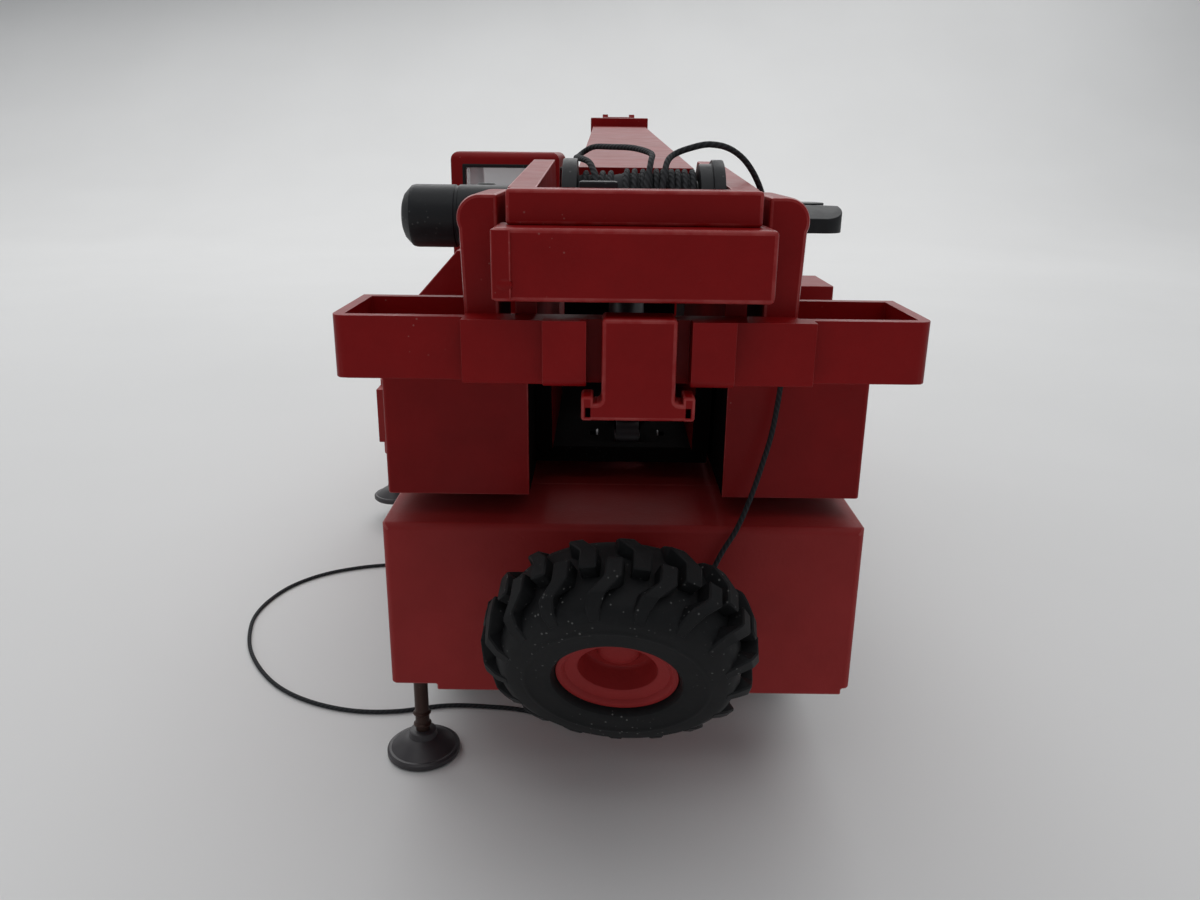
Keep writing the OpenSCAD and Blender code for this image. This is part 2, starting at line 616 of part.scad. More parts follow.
module crane_cab() color("firebrick")
    cab_shell(crane_out, crane_in, crane_x0, crane_x1, cab_wall) {
        block([crane_x0 + 2.4, crane_y0 - 1, 60], [crane_x1 - 2.4, crane_y0 + 3, 72.8]);
        block([crane_x0 - 1, crane_y0 + 3, 58], [crane_x1 + 1, crane_y1 - 9, 72.4]);
        block([crane_x0 + 2, crane_y1 - 9, 57], [crane_x1 - 2, crane_y1 + 1, 72.8]);
    }

module crane_cab_glazing() color("lightcyan") difference() {
    slab_x([for (p = crane_in) p + [p[0] < crane_y0 + 10 ? run : -run * 2, p[1] > 70 ? -run : run]],
        crane_x0 + cab_wall + run, crane_x1 - cab_wall - run);
    slab_x([for (p = crane_in) p + [p[0] < crane_y0 + 10 ? 0.6 : -0.7, p[1] > 70 ? -0.6 : 0.6]],
        crane_x0 + cab_wall + 0.6, crane_x1 - cab_wall - 0.6);
}

module silencer() color("black") union() {
    bar_x(silencer_r, -silencer_out + 1, -rail_out - 0.9, 4.2, silencer_z);
    bar_x(silencer_r - 0.7, -silencer_out, -rail_out, 4.2, silencer_z);
}

// Block along X with a round end, cut from an outline in Y-Z
module round_ended(outline, x, y, r) intersection() {
    slab_x(outline, rail_out, x + r);
    union() {
        block([rail_out, y - r, 60], [x, y + r, 80]);
        translate([x, y, 60]) cylinder(r = r, h = 20);
    }
}

module air_cleaner() color("black") union() {
    round_ended([[3.4, 67.5], [7.6, 67.5], [7.6, 70.2], [6.4, 70.2], [3.4, 69]], 20.8, 5.5, 2.1);
    round_ended([[7.6, 68], [11, 68], [11, 70.4], [7.6, 70.4]], 20, 9.3, 1.7);
}

// ---------------------------------------------------------------- winch

// Drum with two flanges, a plain collar and a hollow outer ring; wound part bare
module winch_drum() color("dimgray") translate([0, -winch_back, winch_z]) rotate([0, 90, 0]) difference() {
    union() {
        translate([0, 0, drum_left]) cylinder(r = core_r, h = drum_right - drum_left);
        translate([0, 0, drum_left]) cylinder(r = flange_r, h = 1.4);
        translate([0, 0, drum_right - 2.3]) cylinder(r = flange_r - 0.4, h = 1.2);
        translate([0, 0, drum_right - 1.1]) cylinder(r = flange_r, h = 1.1);
        translate([0, 0, -plate_in - 1.2]) cylinder(r = shaft_r, h = 2 * plate_in + 2.4);
    }
    translate([0, 0, drum_right - 0.8]) difference() {
        cylinder(r = flange_r - 1, h = 2);
        cylinder(r = shaft_r, h = 2);
    }
}

// The rope that is wound on the drum, as one ring
module wound_rope() color("dimgray") translate([0, -winch_back, winch_z]) rotate([0, 90, 0])
    for (part = [[drum_left + 1.4, -1.5, 4], [-1.2, drum_right - 2.4, 4.2]])
        translate([0, 0, part[0]]) difference() {
            cylinder(r = part[2], h = part[1] - part[0]);
            translate([0, 0, -1]) cylinder(r = core_r, h = part[1] - part[0] + 2);
        }

module winch_motor() color("dimgray")
    block([motor_x[0], -plate_back, rail_top - 4.4], [motor_x[1], -winch_back - 4.6, rail_top + 0.6]);

module pivot_pins() color("silver") union() {
    bar_x(pin_r, -rail_out - 0.4, rail_out + 0.4, pivot_y, pivot_z);
    bar_x(foot_pin_r, boom_x - 4.2, boom_x + 4.2, foot_y, foot_z);
}

// ---------------------------------------------------------------- boom

// A hollow section along the boom: outer width and depth, underside, start and end
module section(w, d, low, u0, u1, wall) difference() {
    block([-w / 2, u0, low], [w / 2, u1, low + d]);
    block([-w / 2 + wall, u0 - 1, low + wall], [w / 2 - wall, u1 + 1, low + d - wall]);
}

// Raised collar round the front end of a section
module collar(w, d, low, u1, up, out) difference() {
    block([-w / 2 - out, u1 - collar_t, low - out], [w / 2 + out, u1, low + d + up]);
    block([-w / 2, u1 - collar_t - 1, low], [w / 2, u1 + 1, low + d]);
}

module boom_base() color("firebrick") boom_frame() difference() {
    union() {
        section(boom_w, boom_d, boom_low_v, -boom_tail, boom_len, boom_wall);
        collar(boom_w, boom_d, boom_low_v, boom_len, collar_up, 0.6);
        block([-boom_w / 2 + boom_wall, -boom_tail, boom_low_v + boom_wall],
            [boom_w / 2 - boom_wall, -boom_tail + 1.2, boom_top_v - boom_wall]);
        bar_x(pin_r + 1.6, -plate_in - boom_x + slip, plate_in - boom_x - slip, 0, 0);
        for (s = [-1, 1]) side(s) difference() {
            translate([0, lug_u, 0]) slab_x([[-3.4, boom_low_v], [3.4, boom_low_v], [1.8, -lug_drop - 1.6],
                [-1.8, -lug_drop - 1.6]], eye_t / 2 + slip, eye_t / 2 + slip + 1.4);
        }
        bar_x(lug_pin_r, -eye_t / 2 - slip - 1, eye_t / 2 + slip + 1, lug_u, -lug_drop);
    }
    bar_x(pin_r + run, -plate_in - 1, plate_in + 1, 0, 0);
}
lug_u = sqrt(lift_arm * lift_arm - lug_drop * lug_drop);

module boom_mid() color("firebrick") boom_frame() union() {
    section(mid_w, mid_d, mid_low_v, mid_from, mid_to, boom_wall);
    translate([0, 0.1, 0]) collar(mid_w, mid_d, mid_low_v, mid_to, 1.2, 0.6);
}

module boom_tip() color("firebrick") boom_frame() difference() {
    union() {
        section(tip_w, tip_d, tip_low_v, tip_from, tip_to, boom_wall);
        for (s = [-1, 1]) side(s) slab_x([[tip_to - 3, tip_low_v + 1], [tip_to, tip_low_v - 1.6],
            [tip_to + head_len - 2, tip_low_v - 1.6], [tip_to + head_len, tip_low_v + 1],
            [tip_to + head_len - 2, tip_low_v + tip_d + 1], [tip_to + 1, tip_low_v + tip_d + 4.6],
            [tip_to - 2, tip_low_v + tip_d]], head_half - 1.4, head_half);
        block([-head_half, tip_to - 0.6, tip_low_v + 1], [head_half, tip_to + 0.8, tip_low_v + tip_d + 4]);
        bar_x(0.8, -head_half + 1, head_half - 1, sheave_u, sheave_v);
        bar_x(1.3, -head_half + 1, head_half - 1, tip_to + 2.6, tip_low_v + tip_d + 2);
    }
}

// Two grooved sheaves on one hub
module head_sheaves() color("dimgray") boom_frame() translate([0, sheave_u, sheave_v]) rotate([0, 90, 0])
    translate([0, 0, -sheave_t - 0.2]) rotate_extrude() polygon([[0.8 + run, 0], [sheave_r, 0],
        [sheave_r - 0.7, sheave_t / 2], [sheave_r, sheave_t], [1.8, sheave_t], [1.8, sheave_t + 0.4],
        [sheave_r, sheave_t + 0.4], [sheave_r - 0.7, sheave_t * 1.5 + 0.4], [sheave_r, sheave_t * 2 + 0.4],
        [0.8 + run, sheave_t * 2 + 0.4]]);

// ---------------------------------------------------------------- lift cylinder

module lift_barrel() color("firebrick") lift_frame() difference() {
    union() {
        bar_x(2.2, -eye_t / 2, eye_t / 2, 0, 0);
        translate([0, 1.2, 0]) rotate([-90, 0, 0]) cylinder(r = barrel_r - 1, h = 2);
        translate([0, 2.6, 0]) rotate([-90, 0, 0]) cylinder(r = barrel_r, h = barrel_len - 2.6);
        translate([0, barrel_len - 2, 0]) rotate([-90, 0, 0]) cylinder(r = barrel_r + 0.3, h = 2);
    }
    bar_x(foot_pin_r + run, -eye_t, eye_t, 0, 0);
    translate([0, 3.4, 0]) rotate([-90, 0, 0]) cylinder(r = rod_r + run, h = barrel_len);
}

module lift_rod() color("silver") lift_frame() difference() {
    union() {
        translate([0, lift_span - rod_len, 0]) rotate([-90, 0, 0]) cylinder(r = rod_r, h = rod_len - 1);
        bar_x(1.7, -eye_t / 2, eye_t / 2, lift_span, 0);
    }
    bar_x(lug_pin_r + run, -eye_t, eye_t, lift_span, 0);
}

// ---------------------------------------------------------------- rope

// A point on the smooth curve through a route, t from 0 at its start to 1 at its end
function curve(p, t) = let (n = len(p) - 1, i = min(floor(t * n), n - 1), f = t * n - i,
    a = p[max(i - 1, 0)], b = p[i], c = p[i + 1], d = p[min(i + 2, n)])
    0.5 * (2 * b + (c - a) * f + (2 * a - 5 * b + 4 * c - d) * f * f + (3 * b - a - 3 * c + d) * f * f * f);

function unit(v) = v / norm(v);

// Normals carried along the tangents t without twisting
function carried(t, i = 0, last = [0, 1, 0]) = i == len(t) ? []
    : let (n = unit(last - (last * t[i]) * t[i])) concat([n], carried(t, i + 1, n));

// A round tube swept along a route with the given number of rings
module rope(route, rings) {
    p = [for (i = [0:rings - 1]) curve(route, i / (rings - 1))];
    t = [for (i = [0:rings - 1]) unit(p[min(i + 1, rings - 1)] - p[max(i - 1, 0)])];
    n = carried(t);
    points = [for (i = [0:rings - 1], k = [0:rope_sides - 1]) let (a = 360 * k / rope_sides)
        p[i] + rope_d / 2 * (cos(a) * n[i] + sin(a) * cross(t[i], n[i]))];
    last = (rings - 1) * rope_sides;
    faces = concat([[for (k = [0:rope_sides - 1]) k]],
        [for (i = [0:rings - 2], k = [0:rope_sides - 1]) let (a = i * rope_sides + k,
            b = i * rope_sides + (k + 1) % rope_sides) [a, a + rope_sides, b + rope_sides, b]],
        [[for (k = [rope_sides - 1:-1:0]) last + k]]);
    polyhedron(points, faces);
}

module slack_loop() color("dimgray") rope(loop_route, loop_rings);
module rope_tail() color("dimgray") rope(tail_route, tail_rings);
module rope_knot() color("dimgray") let (n = len(tail_route), end = tail_route[n - 1])
    translate(end + unit(end - tail_route[n - 2]) * (knot_r + 0.02) + [0, 0, knot_r - rope_d / 2])
        sphere(r = knot_r);

// ---------------------------------------------------------------- all pieces

place() chassis_frame();
place() carrier_deck();
place() rear_outrigger_box();
place() front_outrigger_box();
place() rear_axle();
place() front_axle();
place() driver_cab();
place() driver_cab_glazing();
place() front_bumper();
place() spare_wheel_bracket();
place() rear_left_beam();
place() rear_right_beam();
place() front_left_beam();
place() front_right_beam();
place() rear_left_jack();
place() rear_right_jack();
place() front_left_jack();
place() front_right_jack();
place() rear_left_foot();
place() front_left_foot();
place() front_right_foot();
place() rear_left_tyre();
place() rear_right_tyre();
place() front_left_tyre();
place() front_right_tyre();
place() rear_left_rim();
place() rear_right_rim();
place() front_left_rim();
place() front_right_rim();
place() spare_tyre();
place() spare_rim();
place() left_knuckle();
place() right_knuckle();
place() turntable_ring();
place() turntable_frame();
place() frame_plates();
place() left_housing();
place() right_housing();
place() cheek_plates();
place() counterweight();
place() rear_cover();
place() counterweight_tray();
place() coupling_bracket();
place() crane_cab();
place() crane_cab_glazing();
place() silencer();
place() air_cleaner();
place() winch_drum();
place() wound_rope();
place() winch_motor();
place() pivot_pins();
place() boom_base();
place() boom_mid();
place() boom_tip();
place() head_sheaves();
place() lift_barrel();
place() lift_rod();
place() slack_loop();
place() rope_tail();
place() rope_knot();
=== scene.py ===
import json
import logging
import math
import random
from dataclasses import dataclass
from enum import Enum
from typing import Callable, Sequence

import bmesh
import bpy
from mathutils import Matrix, Vector

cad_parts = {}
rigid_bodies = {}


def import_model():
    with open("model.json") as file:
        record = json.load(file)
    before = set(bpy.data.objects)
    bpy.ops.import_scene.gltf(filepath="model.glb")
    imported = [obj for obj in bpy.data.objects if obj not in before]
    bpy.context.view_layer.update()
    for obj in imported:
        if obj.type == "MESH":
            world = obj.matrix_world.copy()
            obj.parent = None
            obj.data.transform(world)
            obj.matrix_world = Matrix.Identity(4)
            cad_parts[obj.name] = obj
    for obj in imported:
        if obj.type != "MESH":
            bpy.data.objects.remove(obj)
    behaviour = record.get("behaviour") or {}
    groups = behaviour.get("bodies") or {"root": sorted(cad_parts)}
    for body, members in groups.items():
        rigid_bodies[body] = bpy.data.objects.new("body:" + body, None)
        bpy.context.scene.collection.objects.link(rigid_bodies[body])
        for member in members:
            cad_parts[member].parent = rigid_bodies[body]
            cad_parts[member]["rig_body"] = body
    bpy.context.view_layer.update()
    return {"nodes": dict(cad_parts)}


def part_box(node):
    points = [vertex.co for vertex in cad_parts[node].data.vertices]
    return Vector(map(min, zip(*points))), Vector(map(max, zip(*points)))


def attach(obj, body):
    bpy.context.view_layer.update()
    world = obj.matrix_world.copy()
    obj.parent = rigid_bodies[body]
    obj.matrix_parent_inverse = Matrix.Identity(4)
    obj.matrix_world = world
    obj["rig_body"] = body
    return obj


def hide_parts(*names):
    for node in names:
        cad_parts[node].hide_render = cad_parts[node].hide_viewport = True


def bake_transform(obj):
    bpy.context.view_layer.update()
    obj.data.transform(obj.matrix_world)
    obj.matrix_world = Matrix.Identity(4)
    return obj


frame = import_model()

MM = 0.001
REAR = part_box("rear_outrigger_box")[0].y
SEED = 7
SHARP = 28             # degrees between faces from which an edge is rounded
CURVE_STEPS = 24       # points between two of a thread's route points
SHADED_PLATE_TOP = 60    # below this height the frame plates' inner faces get painted shade
log = logging.getLogger("crane")

Point = Sequence[float]


def at(x: float, y: float, z: float) -> Vector:
    """A place given in millimetres, with y counted forward from the carrier's rear face."""
    return Vector((x * MM, REAR + y * MM, z * MM))


# ------------------------------------------------------------------ shader words

class Val:
    """A shader socket that Python's operators can work on."""

    def __init__(self, shader: "Shader", socket: bpy.types.NodeSocket) -> None:
        """Keeps the socket and the material it belongs to."""
        self.shader = shader
        self.socket = socket

    def maths(self, operation: str, other: "Val | float" = 0.0, flip: bool = False,
              clamp: bool = False) -> "Val":
        """One Math node on this value.

        Args:
            operation: the Math node's operation.
            other: the second value.
            flip: whether the second value comes first.
            clamp: whether the result is kept between 0 and 1.

        Returns:
            The result.
        """
        pair = (other, self) if flip else (self, other)
        return self.shader.value("ShaderNodeMath", dict(enumerate(pair)),
                                 operation=operation, use_clamp=clamp)

    def __add__(self, other: "Val | float") -> "Val":
        """Sum."""
        return self.maths("ADD", other)

    def __radd__(self, other: float) -> "Val":
        """Sum with a number on the left."""
        return self.maths("ADD", other)

    def __sub__(self, other: "Val | float") -> "Val":
        """Difference."""
        return self.maths("SUBTRACT", other)

    def __rsub__(self, other: float) -> "Val":
        """Difference with a number on the left."""
        return self.maths("SUBTRACT", other, flip=True)

    def __mul__(self, other: "Val | float") -> "Val":
        """Product."""
        return self.maths("MULTIPLY", other)

    def __rmul__(self, other: float) -> "Val":
        """Product with a number on the left."""
        return self.maths("MULTIPLY", other)

    def sine(self) -> "Val":
        """Sine, in radians."""
        return self.maths("SINE")

    def step(self, low: float, high: float) -> "Val":
        """0 below low, 1 above high, and a ramp between them."""
        return (self - low).maths("DIVIDE", high - low, clamp=True)


class Shader:
    """One node material around a Principled shader."""

    def __init__(self, name: str) -> None:
        """Starts an empty material."""
        self.material = bpy.data.materials.new(name)
        self.material.use_nodes = True
        self.tree = self.material.node_tree
        self.tree.nodes.clear()
        self.coords = self.value("ShaderNodeTexCoord", {}, "Object")

    def node(self, kind: str, sockets: dict, **settings: object) -> bpy.types.Node:
        """Adds a node.

        Args:
            kind: the node's type.
            sockets: values or links of its inputs, by name or place.
            settings: properties that are set first.

        Returns:
            The node.
        """
        made = self.tree.nodes.new(kind)
        for key, setting in settings.items():
            setattr(made, key, setting)
        for key, value in sockets.items():
            if isinstance(value, Val):
                self.tree.links.new(value.socket, made.inputs[key])
            else:
                made.inputs[key].default_value = value
        return made

    def value(self, kind: str, sockets: dict, out: "str | int" = 0, **settings: object) -> Val:
        """Adds a node and returns one of its outputs."""
        return Val(self, self.node(kind, sockets, **settings).outputs[out])

    def noise(self, scale: float, detail: float = 2.0, rough: float = 0.5) -> Val:
        """Cloudy noise from 0 to 1, with scale in blobs to the metre."""
        return self.value("ShaderNodeTexNoise", {"Vector": self.coords, "Scale": scale,
                                                 "Detail": detail, "Roughness": rough})

    def cells(self, scale: float) -> Val:
        """Distance to the nearest of many scattered points."""
        return self.value("ShaderNodeTexVoronoi", {"Vector": self.coords, "Scale": scale},
                          "Distance")

    def specks(self, scale: float, size: float, where: Val) -> Val:
        """Small round marks, only where the mask is."""
        return (1 - self.cells(scale).step(size * 0.6, size)) * where

    def mix(self, a: "Val | Point", b: "Val | Point", factor: "Val | float") -> Val:
        """Blends two colours."""
        return self.value("ShaderNodeMix", {0: factor, 6: a, 7: b}, 2, data_type="RGBA")

    def bump(self, height: Val, strength: float, depth: float) -> Val:
        """A bumped normal, with depth in metres."""
        return self.value("ShaderNodeBump", {"Height": height, "Strength": strength,
                                             "Distance": depth})

    def finish(self, **sockets: "Val | float | Point") -> bpy.types.Material:
        """Ends the material in a Principled shader.

        Args:
            sockets: the shader's inputs, with _ for a space in their names.

        Returns:
            The material.
        """
        named = {key.replace("_", " "): value for key, value in sockets.items()}
        shader = self.value("ShaderNodeBsdfPrincipled", named)
        self.node("ShaderNodeOutputMaterial", {"Surface": shader})
        return self.material


def rgb(red: float, green: float, blue: float) -> tuple[float, float, float, float]:
    """A colour with full alpha."""
    return (red, green, blue, 1.0)


# ------------------------------------------------------------------ finishes

@dataclass(frozen=True)
class Paint:
    """Sprayed enamel on a casting, with grain, pits, dust and chips."""

    name: str
    deep: tuple[float, float, float, float]
    lively: tuple[float, float, float, float]
    rough: float
    grain: float
    gloss: float = 0.3
    worn: float = 0.0

    def build(self) -> bpy.types.Material:
        """The material."""
        s = Shader(self.name)
        cloud = s.noise(130, 4, 0.6)
        fine = s.noise(2300, 2, 0.5)
        patches = s.noise(300, 3)
        dust = s.specks(900, 0.1, s.noise(55, 3).step(0.6, 0.68))
        colour = s.mix(self.deep, self.lively, cloud.step(0.3, 0.7))
        colour = s.mix(colour, rgb(0.42, 0.22, 0.2), dust * 0.35)
        rough = self.rough + (patches - 0.5) * 0.16 + dust * 0.2
        if self.worn:
            rubbed = s.noise(420, 4, 0.65).step(0.4, 0.62)
            colour = s.mix(colour, rgb(0.42, 0.075, 0.07), rubbed * self.worn)
            bare = s.specks(420, 0.13, s.noise(95, 2).step(0.62, 0.68))
            colour = s.mix(colour, rgb(0.34, 0.33, 0.33), bare)
        pits = s.specks(520, 0.1, s.noise(80, 2).step(0.5, 0.6))
        height = fine * self.grain + cloud * 0.3 - pits * 0.8
        return s.finish(Base_Color=colour, Roughness=rough, Specular_IOR_Level=self.gloss,
                        Normal=s.bump(height, 0.35, 0.00006))


@dataclass(frozen=True)
class Moulded:
    """Rubber or plastic in one dark colour, with dust and a fine grain."""

    name: str
    colour: tuple[float, float, float, float]
    rough: float
    grain: float = 1500
    dust: float = 0.3
    gloss: float = 0.28
    metal: float = 0.0

    def build(self) -> bpy.types.Material:
        """The material."""
        s = Shader(self.name)
        cloud = s.noise(160, 4, 0.6)
        film = s.noise(620, 5, 0.7).step(0.52, 0.72)
        fluff = s.specks(1300, 0.17, s.noise(90, 3).step(0.5, 0.62))
        pale = tuple(min(1.0, c * 2.6 + 0.012) for c in self.colour[:3]) + (1.0,)
        colour = s.mix(self.colour, pale, film * self.dust * 0.6)
        colour = s.mix(colour, rgb(0.3, 0.3, 0.29), fluff * self.dust)
        rough = self.rough + (cloud - 0.5) * 0.18 + film * 0.08
        return s.finish(Base_Color=colour, Roughness=rough, Specular_IOR_Level=self.gloss,
                        Metallic=self.metal,
                        Normal=s.bump(s.noise(self.grain, 3) + cloud * 0.4, 0.3, 0.00005))


@dataclass(frozen=True)
class Twine:
    """Twisted thread whose strands follow the piece's own UV map."""

    name: str
    colour: tuple[float, float, float, float]

    def build(self) -> bpy.types.Material:
        """The material."""
        s = Shader(self.name)
        uv = s.node("ShaderNodeTexCoord", {}).outputs["UV"]
        flat = s.node("ShaderNodeSeparateXYZ", {0: Val(s, uv)})
        around, along = Val(s, flat.outputs[0]), Val(s, flat.outputs[1])
        strand = (around * (6 * math.pi) + along * 5.2).sine()
        fuzz = s.noise(5200, 3)
        # Painted shade and highlight: the thread is lighter on the strands' crests and darker in
        # the grooves between them; the fuzz adds random tone.
        light = tuple(c * 2.4 + 0.01 for c in self.colour[:3]) + (1.0,)
        colour = s.mix(self.colour, light, strand.step(-0.2, 1.0) * 0.6 + fuzz * 0.25)
        return s.finish(Base_Color=colour, Roughness=0.8, Specular_IOR_Level=0.25,
                        Normal=s.bump(strand + fuzz, 0.5, 0.00006))


@dataclass(frozen=True)
class Clear:
    """Clear or tinted plastic with faint scratches."""

    name: str
    colour: tuple[float, float, float, float]
    alpha: float
    glow: float = 0.0

    def build(self) -> bpy.types.Material:
        """The material."""
        s = Shader(self.name)
        haze = s.noise(240, 4, 0.7)
        dirt = s.specks(1500, 0.14, s.noise(70, 2).step(0.5, 0.6))
        colour = s.mix(self.colour, rgb(0.6, 0.58, 0.55), dirt * 0.5)
        return s.finish(Base_Color=colour, Roughness=0.06 + haze * 0.12,
                        Alpha=self.alpha + haze * 0.08 + dirt * 0.4,
                        Normal=s.bump(s.noise(900, 2), 0.08, 0.00004))


class Look(Enum):
    """The finishes that the crane's pieces are given."""

    RED = Paint("red_enamel", rgb(0.215, 0.0026, 0.0034), rgb(0.262, 0.004, 0.005), 0.4, 1.0, 0.16)
    # Edge finishes: lighter red than the faces, partly worn thin paint and partly a painted
    # highlight on the rounded edges.
    RED_EDGE = Paint("red_enamel_edge_wear_highlight", rgb(0.27, 0.005, 0.006), rgb(0.33, 0.012, 0.012), 0.34, 0.6,
                     0.3, 0.5)
    BOX_RED = Paint("flat_red", rgb(0.27, 0.014, 0.014), rgb(0.32, 0.019, 0.019), 0.55, 1.1, 0.25)
    BOX_EDGE = Paint("flat_red_edge_wear_highlight", rgb(0.28, 0.03, 0.03), rgb(0.36, 0.045, 0.042), 0.45, 0.8,
                     0.4, 0.5)
    TYRE = Moulded("tyre_rubber", rgb(0.0065, 0.0068, 0.0075), 0.6, 1300, 0.4, 0.2)
    BLACK = Moulded("black_plastic", rgb(0.0055, 0.0052, 0.005), 0.42, 1700, 0.2, 0.2)
    GREY = Moulded("dark_grey_plastic", rgb(0.02, 0.0215, 0.0235), 0.42, 1700, 0.25, 0.2)
    BROWN = Moulded("browned_steel", rgb(0.05, 0.026, 0.02), 0.38, 2100, 0.3, 0.5, 0.6)
    STEEL = Moulded("pin_steel", rgb(0.42, 0.42, 0.43), 0.3, 2600, 0.15, 0.5, 0.9)
    # Painted shade: a near-black, dull finish, darker than any real part there, for the turntable
    # and the tunnel's inner faces.
    SOOT = Moulded("painted_shade_black", rgb(0.004, 0.003, 0.003), 0.8, 900, 0.05, 0.05)
    SEAL = Moulded("window_seal", rgb(0.008, 0.008, 0.009), 0.6, 1500, 0.2)
    SEAT = Moulded("seat_plastic", rgb(0.02, 0.02, 0.022), 0.6, 2200, 0.25)
    ROPE = Twine("dark_thread", rgb(0.016, 0.017, 0.019))
    CLEAR = Clear("clear_plastic", rgb(0.8, 0.84, 0.86), 0.2)
    LAMP = Clear("lamp_plastic", rgb(0.75, 0.77, 0.78), 0.85)
    AMBER = Clear("amber_plastic", rgb(0.7, 0.22, 0.02), 0.88)
    RUBY = Clear("ruby_plastic", rgb(0.35, 0.01, 0.012), 0.9)

    def material(self) -> bpy.types.Material:
        """The finish's material, built the first time it is asked for."""
        found = bpy.data.materials.get(self.value.name)
        return found or self.value.build()


# Each painted look's rounded edges take a lighter finish: partly wear, partly painted highlight.
EDGES = {Look.RED: Look.RED_EDGE, Look.BOX_RED: Look.BOX_EDGE}


# ------------------------------------------------------------------ bench

class Bench:
    """The modelling moves that every sub-assembly uses."""

    @staticmethod
    def clear() -> None:
        """Leaves edit mode and deselects everything."""
        if bpy.context.object and bpy.context.object.mode != "OBJECT":
            bpy.ops.object.mode_set(mode="OBJECT")
        bpy.ops.object.select_all(action="DESELECT")

    @staticmethod
    def edit() -> None:
        """Opens the active piece in edit mode with everything selected."""
        bpy.ops.object.mode_set(mode="EDIT")
        bpy.ops.mesh.select_all(action="SELECT")

    @staticmethod
    def face_out() -> None:
        """Turns every face of the open piece outwards and leaves edit mode."""
        bpy.ops.mesh.select_all(action="SELECT")
        bpy.ops.mesh.normals_make_consistent(inside=False)
        bpy.ops.object.mode_set(mode="OBJECT")

    @staticmethod
    def take(name: str) -> bpy.types.Object:
        """Names the piece that was just added and settles its place into its mesh."""
        piece = bpy.context.object
        piece.name = piece.data.name = name
        bpy.ops.object.transform_apply(location=True, rotation=True, scale=True)
        return Bench.two_slots(piece)

    @staticmethod
    def two_slots(piece: bpy.types.Object) -> bpy.types.Object:
        """Gives a new piece a slot for its faces and one for its rounded edges."""
        piece.data.materials.clear()
        for look in (Look.RED, Look.RED_EDGE):
            piece.data.materials.append(look.material())
        return piece

    @staticmethod
    def hold(piece: bpy.types.Object) -> None:
        """Makes one piece the only selected and active one."""
        Bench.clear()
        piece.select_set(True)
        bpy.context.view_layer.objects.active = piece

    @staticmethod
    def block(name: str, low: Vector, high: Vector) -> bpy.types.Object:
        """A cube stretched between two corners."""
        Bench.clear()
        bpy.ops.mesh.primitive_cube_add(size=1, location=(low + high) / 2, scale=high - low)
        return Bench.take(name)

    @staticmethod
    def ring(name: str, corners: Sequence[Vector]) -> bpy.types.Object:
        """A closed outline through the given corners."""
        Bench.clear()
        bpy.ops.mesh.primitive_circle_add(vertices=len(corners), radius=1, fill_type="NOTHING")
        piece = Bench.take(name)
        for vertex, corner in zip(piece.data.vertices, corners):
            vertex.co = corner
        return piece

    @staticmethod
    def lathe(name: str, profile: Sequence[tuple[float, float]], centre: Vector, axis: Vector,
              steps: int = 48) -> bpy.types.Object:
        """A closed profile spun about an axis.

        Args:
            name: the piece's name.
            profile: (radius, distance along the axis) in millimetres, closed on itself.
            centre: where the axis starts.
            axis: its direction.
            steps: faces round the axis.

        Returns:
            The piece.
        """
        turn = axis.to_track_quat("Z", "Y").to_matrix()
        corners = [centre + turn @ Vector((r * MM, 0, h * MM)) for r, h in profile]
        piece = Bench.ring(name, corners)
        Bench.edit()
        bpy.ops.mesh.spin(steps=steps, angle=2 * math.pi, center=centre, axis=axis)
        bpy.ops.mesh.select_all(action="SELECT")
        bpy.ops.mesh.remove_doubles(threshold=1e-6)
        bpy.ops.mesh.delete_loose()
        Bench.face_out()
        return piece

    @staticmethod
    def copy_node(node: str, name: str) -> bpy.types.Object:
        """A merged copy of a CAD node, with its flat faces joined."""
        Bench.clear()
        source = frame["nodes"][node]
        piece = bpy.data.objects.new(name, source.data.copy())
        piece.data.name = name
        Bench.two_slots(piece)
        bpy.context.collection.objects.link(piece)
        Bench.hold(piece)
        if piece.data.has_custom_normals:
            bpy.ops.mesh.customdata_custom_splitnormals_clear()
        Bench.edit()
        bpy.ops.mesh.remove_doubles(threshold=2e-6)
        bpy.ops.mesh.dissolve_limited(angle_limit=math.radians(0.6))
        bpy.ops.object.mode_set(mode="OBJECT")
        return piece

    @staticmethod
    def edges(piece: bpy.types.Object, test: Callable[[Vector, Vector], bool]) -> int:
        """Opens a piece and selects the edges whose two ends pass a test, in millimetres."""
        Bench.hold(piece)
        bpy.ops.object.mode_set(mode="EDIT")
        bpy.ops.mesh.select_mode(type="EDGE")
        bpy.ops.mesh.select_all(action="DESELECT")
        mesh = bmesh.from_edit_mesh(piece.data)

        def place(v: Vector) -> Vector:
            """A vertex's place in millimetres from the rear face."""
            return Vector((v.x / MM, (v.y - REAR) / MM, v.z / MM))

        for edge in mesh.edges:
            edge.select_set(test(place(edge.verts[0].co), place(edge.verts[1].co)))
        mesh.select_flush_mode()
        bmesh.update_edit_mesh(piece.data)
        return sum(e.select for e in mesh.edges)

    @staticmethod
    def round_edges(piece: bpy.types.Object, test: Callable[[Vector, Vector], bool],
                    radius: float) -> None:
        """Rounds chosen edges with a radius in millimetres."""
        if Bench.edges(piece, test):
            bpy.ops.mesh.bevel(offset=radius * MM, segments=5, affect="EDGES",
                               clamp_overlap=True)
        bpy.ops.object.mode_set(mode="OBJECT")

    @staticmethod
    def modify(piece: bpy.types.Object, kind: str, **settings: object) -> None:
        """Adds a modifier, sets it and applies it."""
        Bench.hold(piece)
        modifier = piece.modifiers.new(kind.lower(), kind)
        for key, value in settings.items():
            setattr(modifier, key, value)
        bpy.ops.object.modifier_apply(modifier=modifier.name)

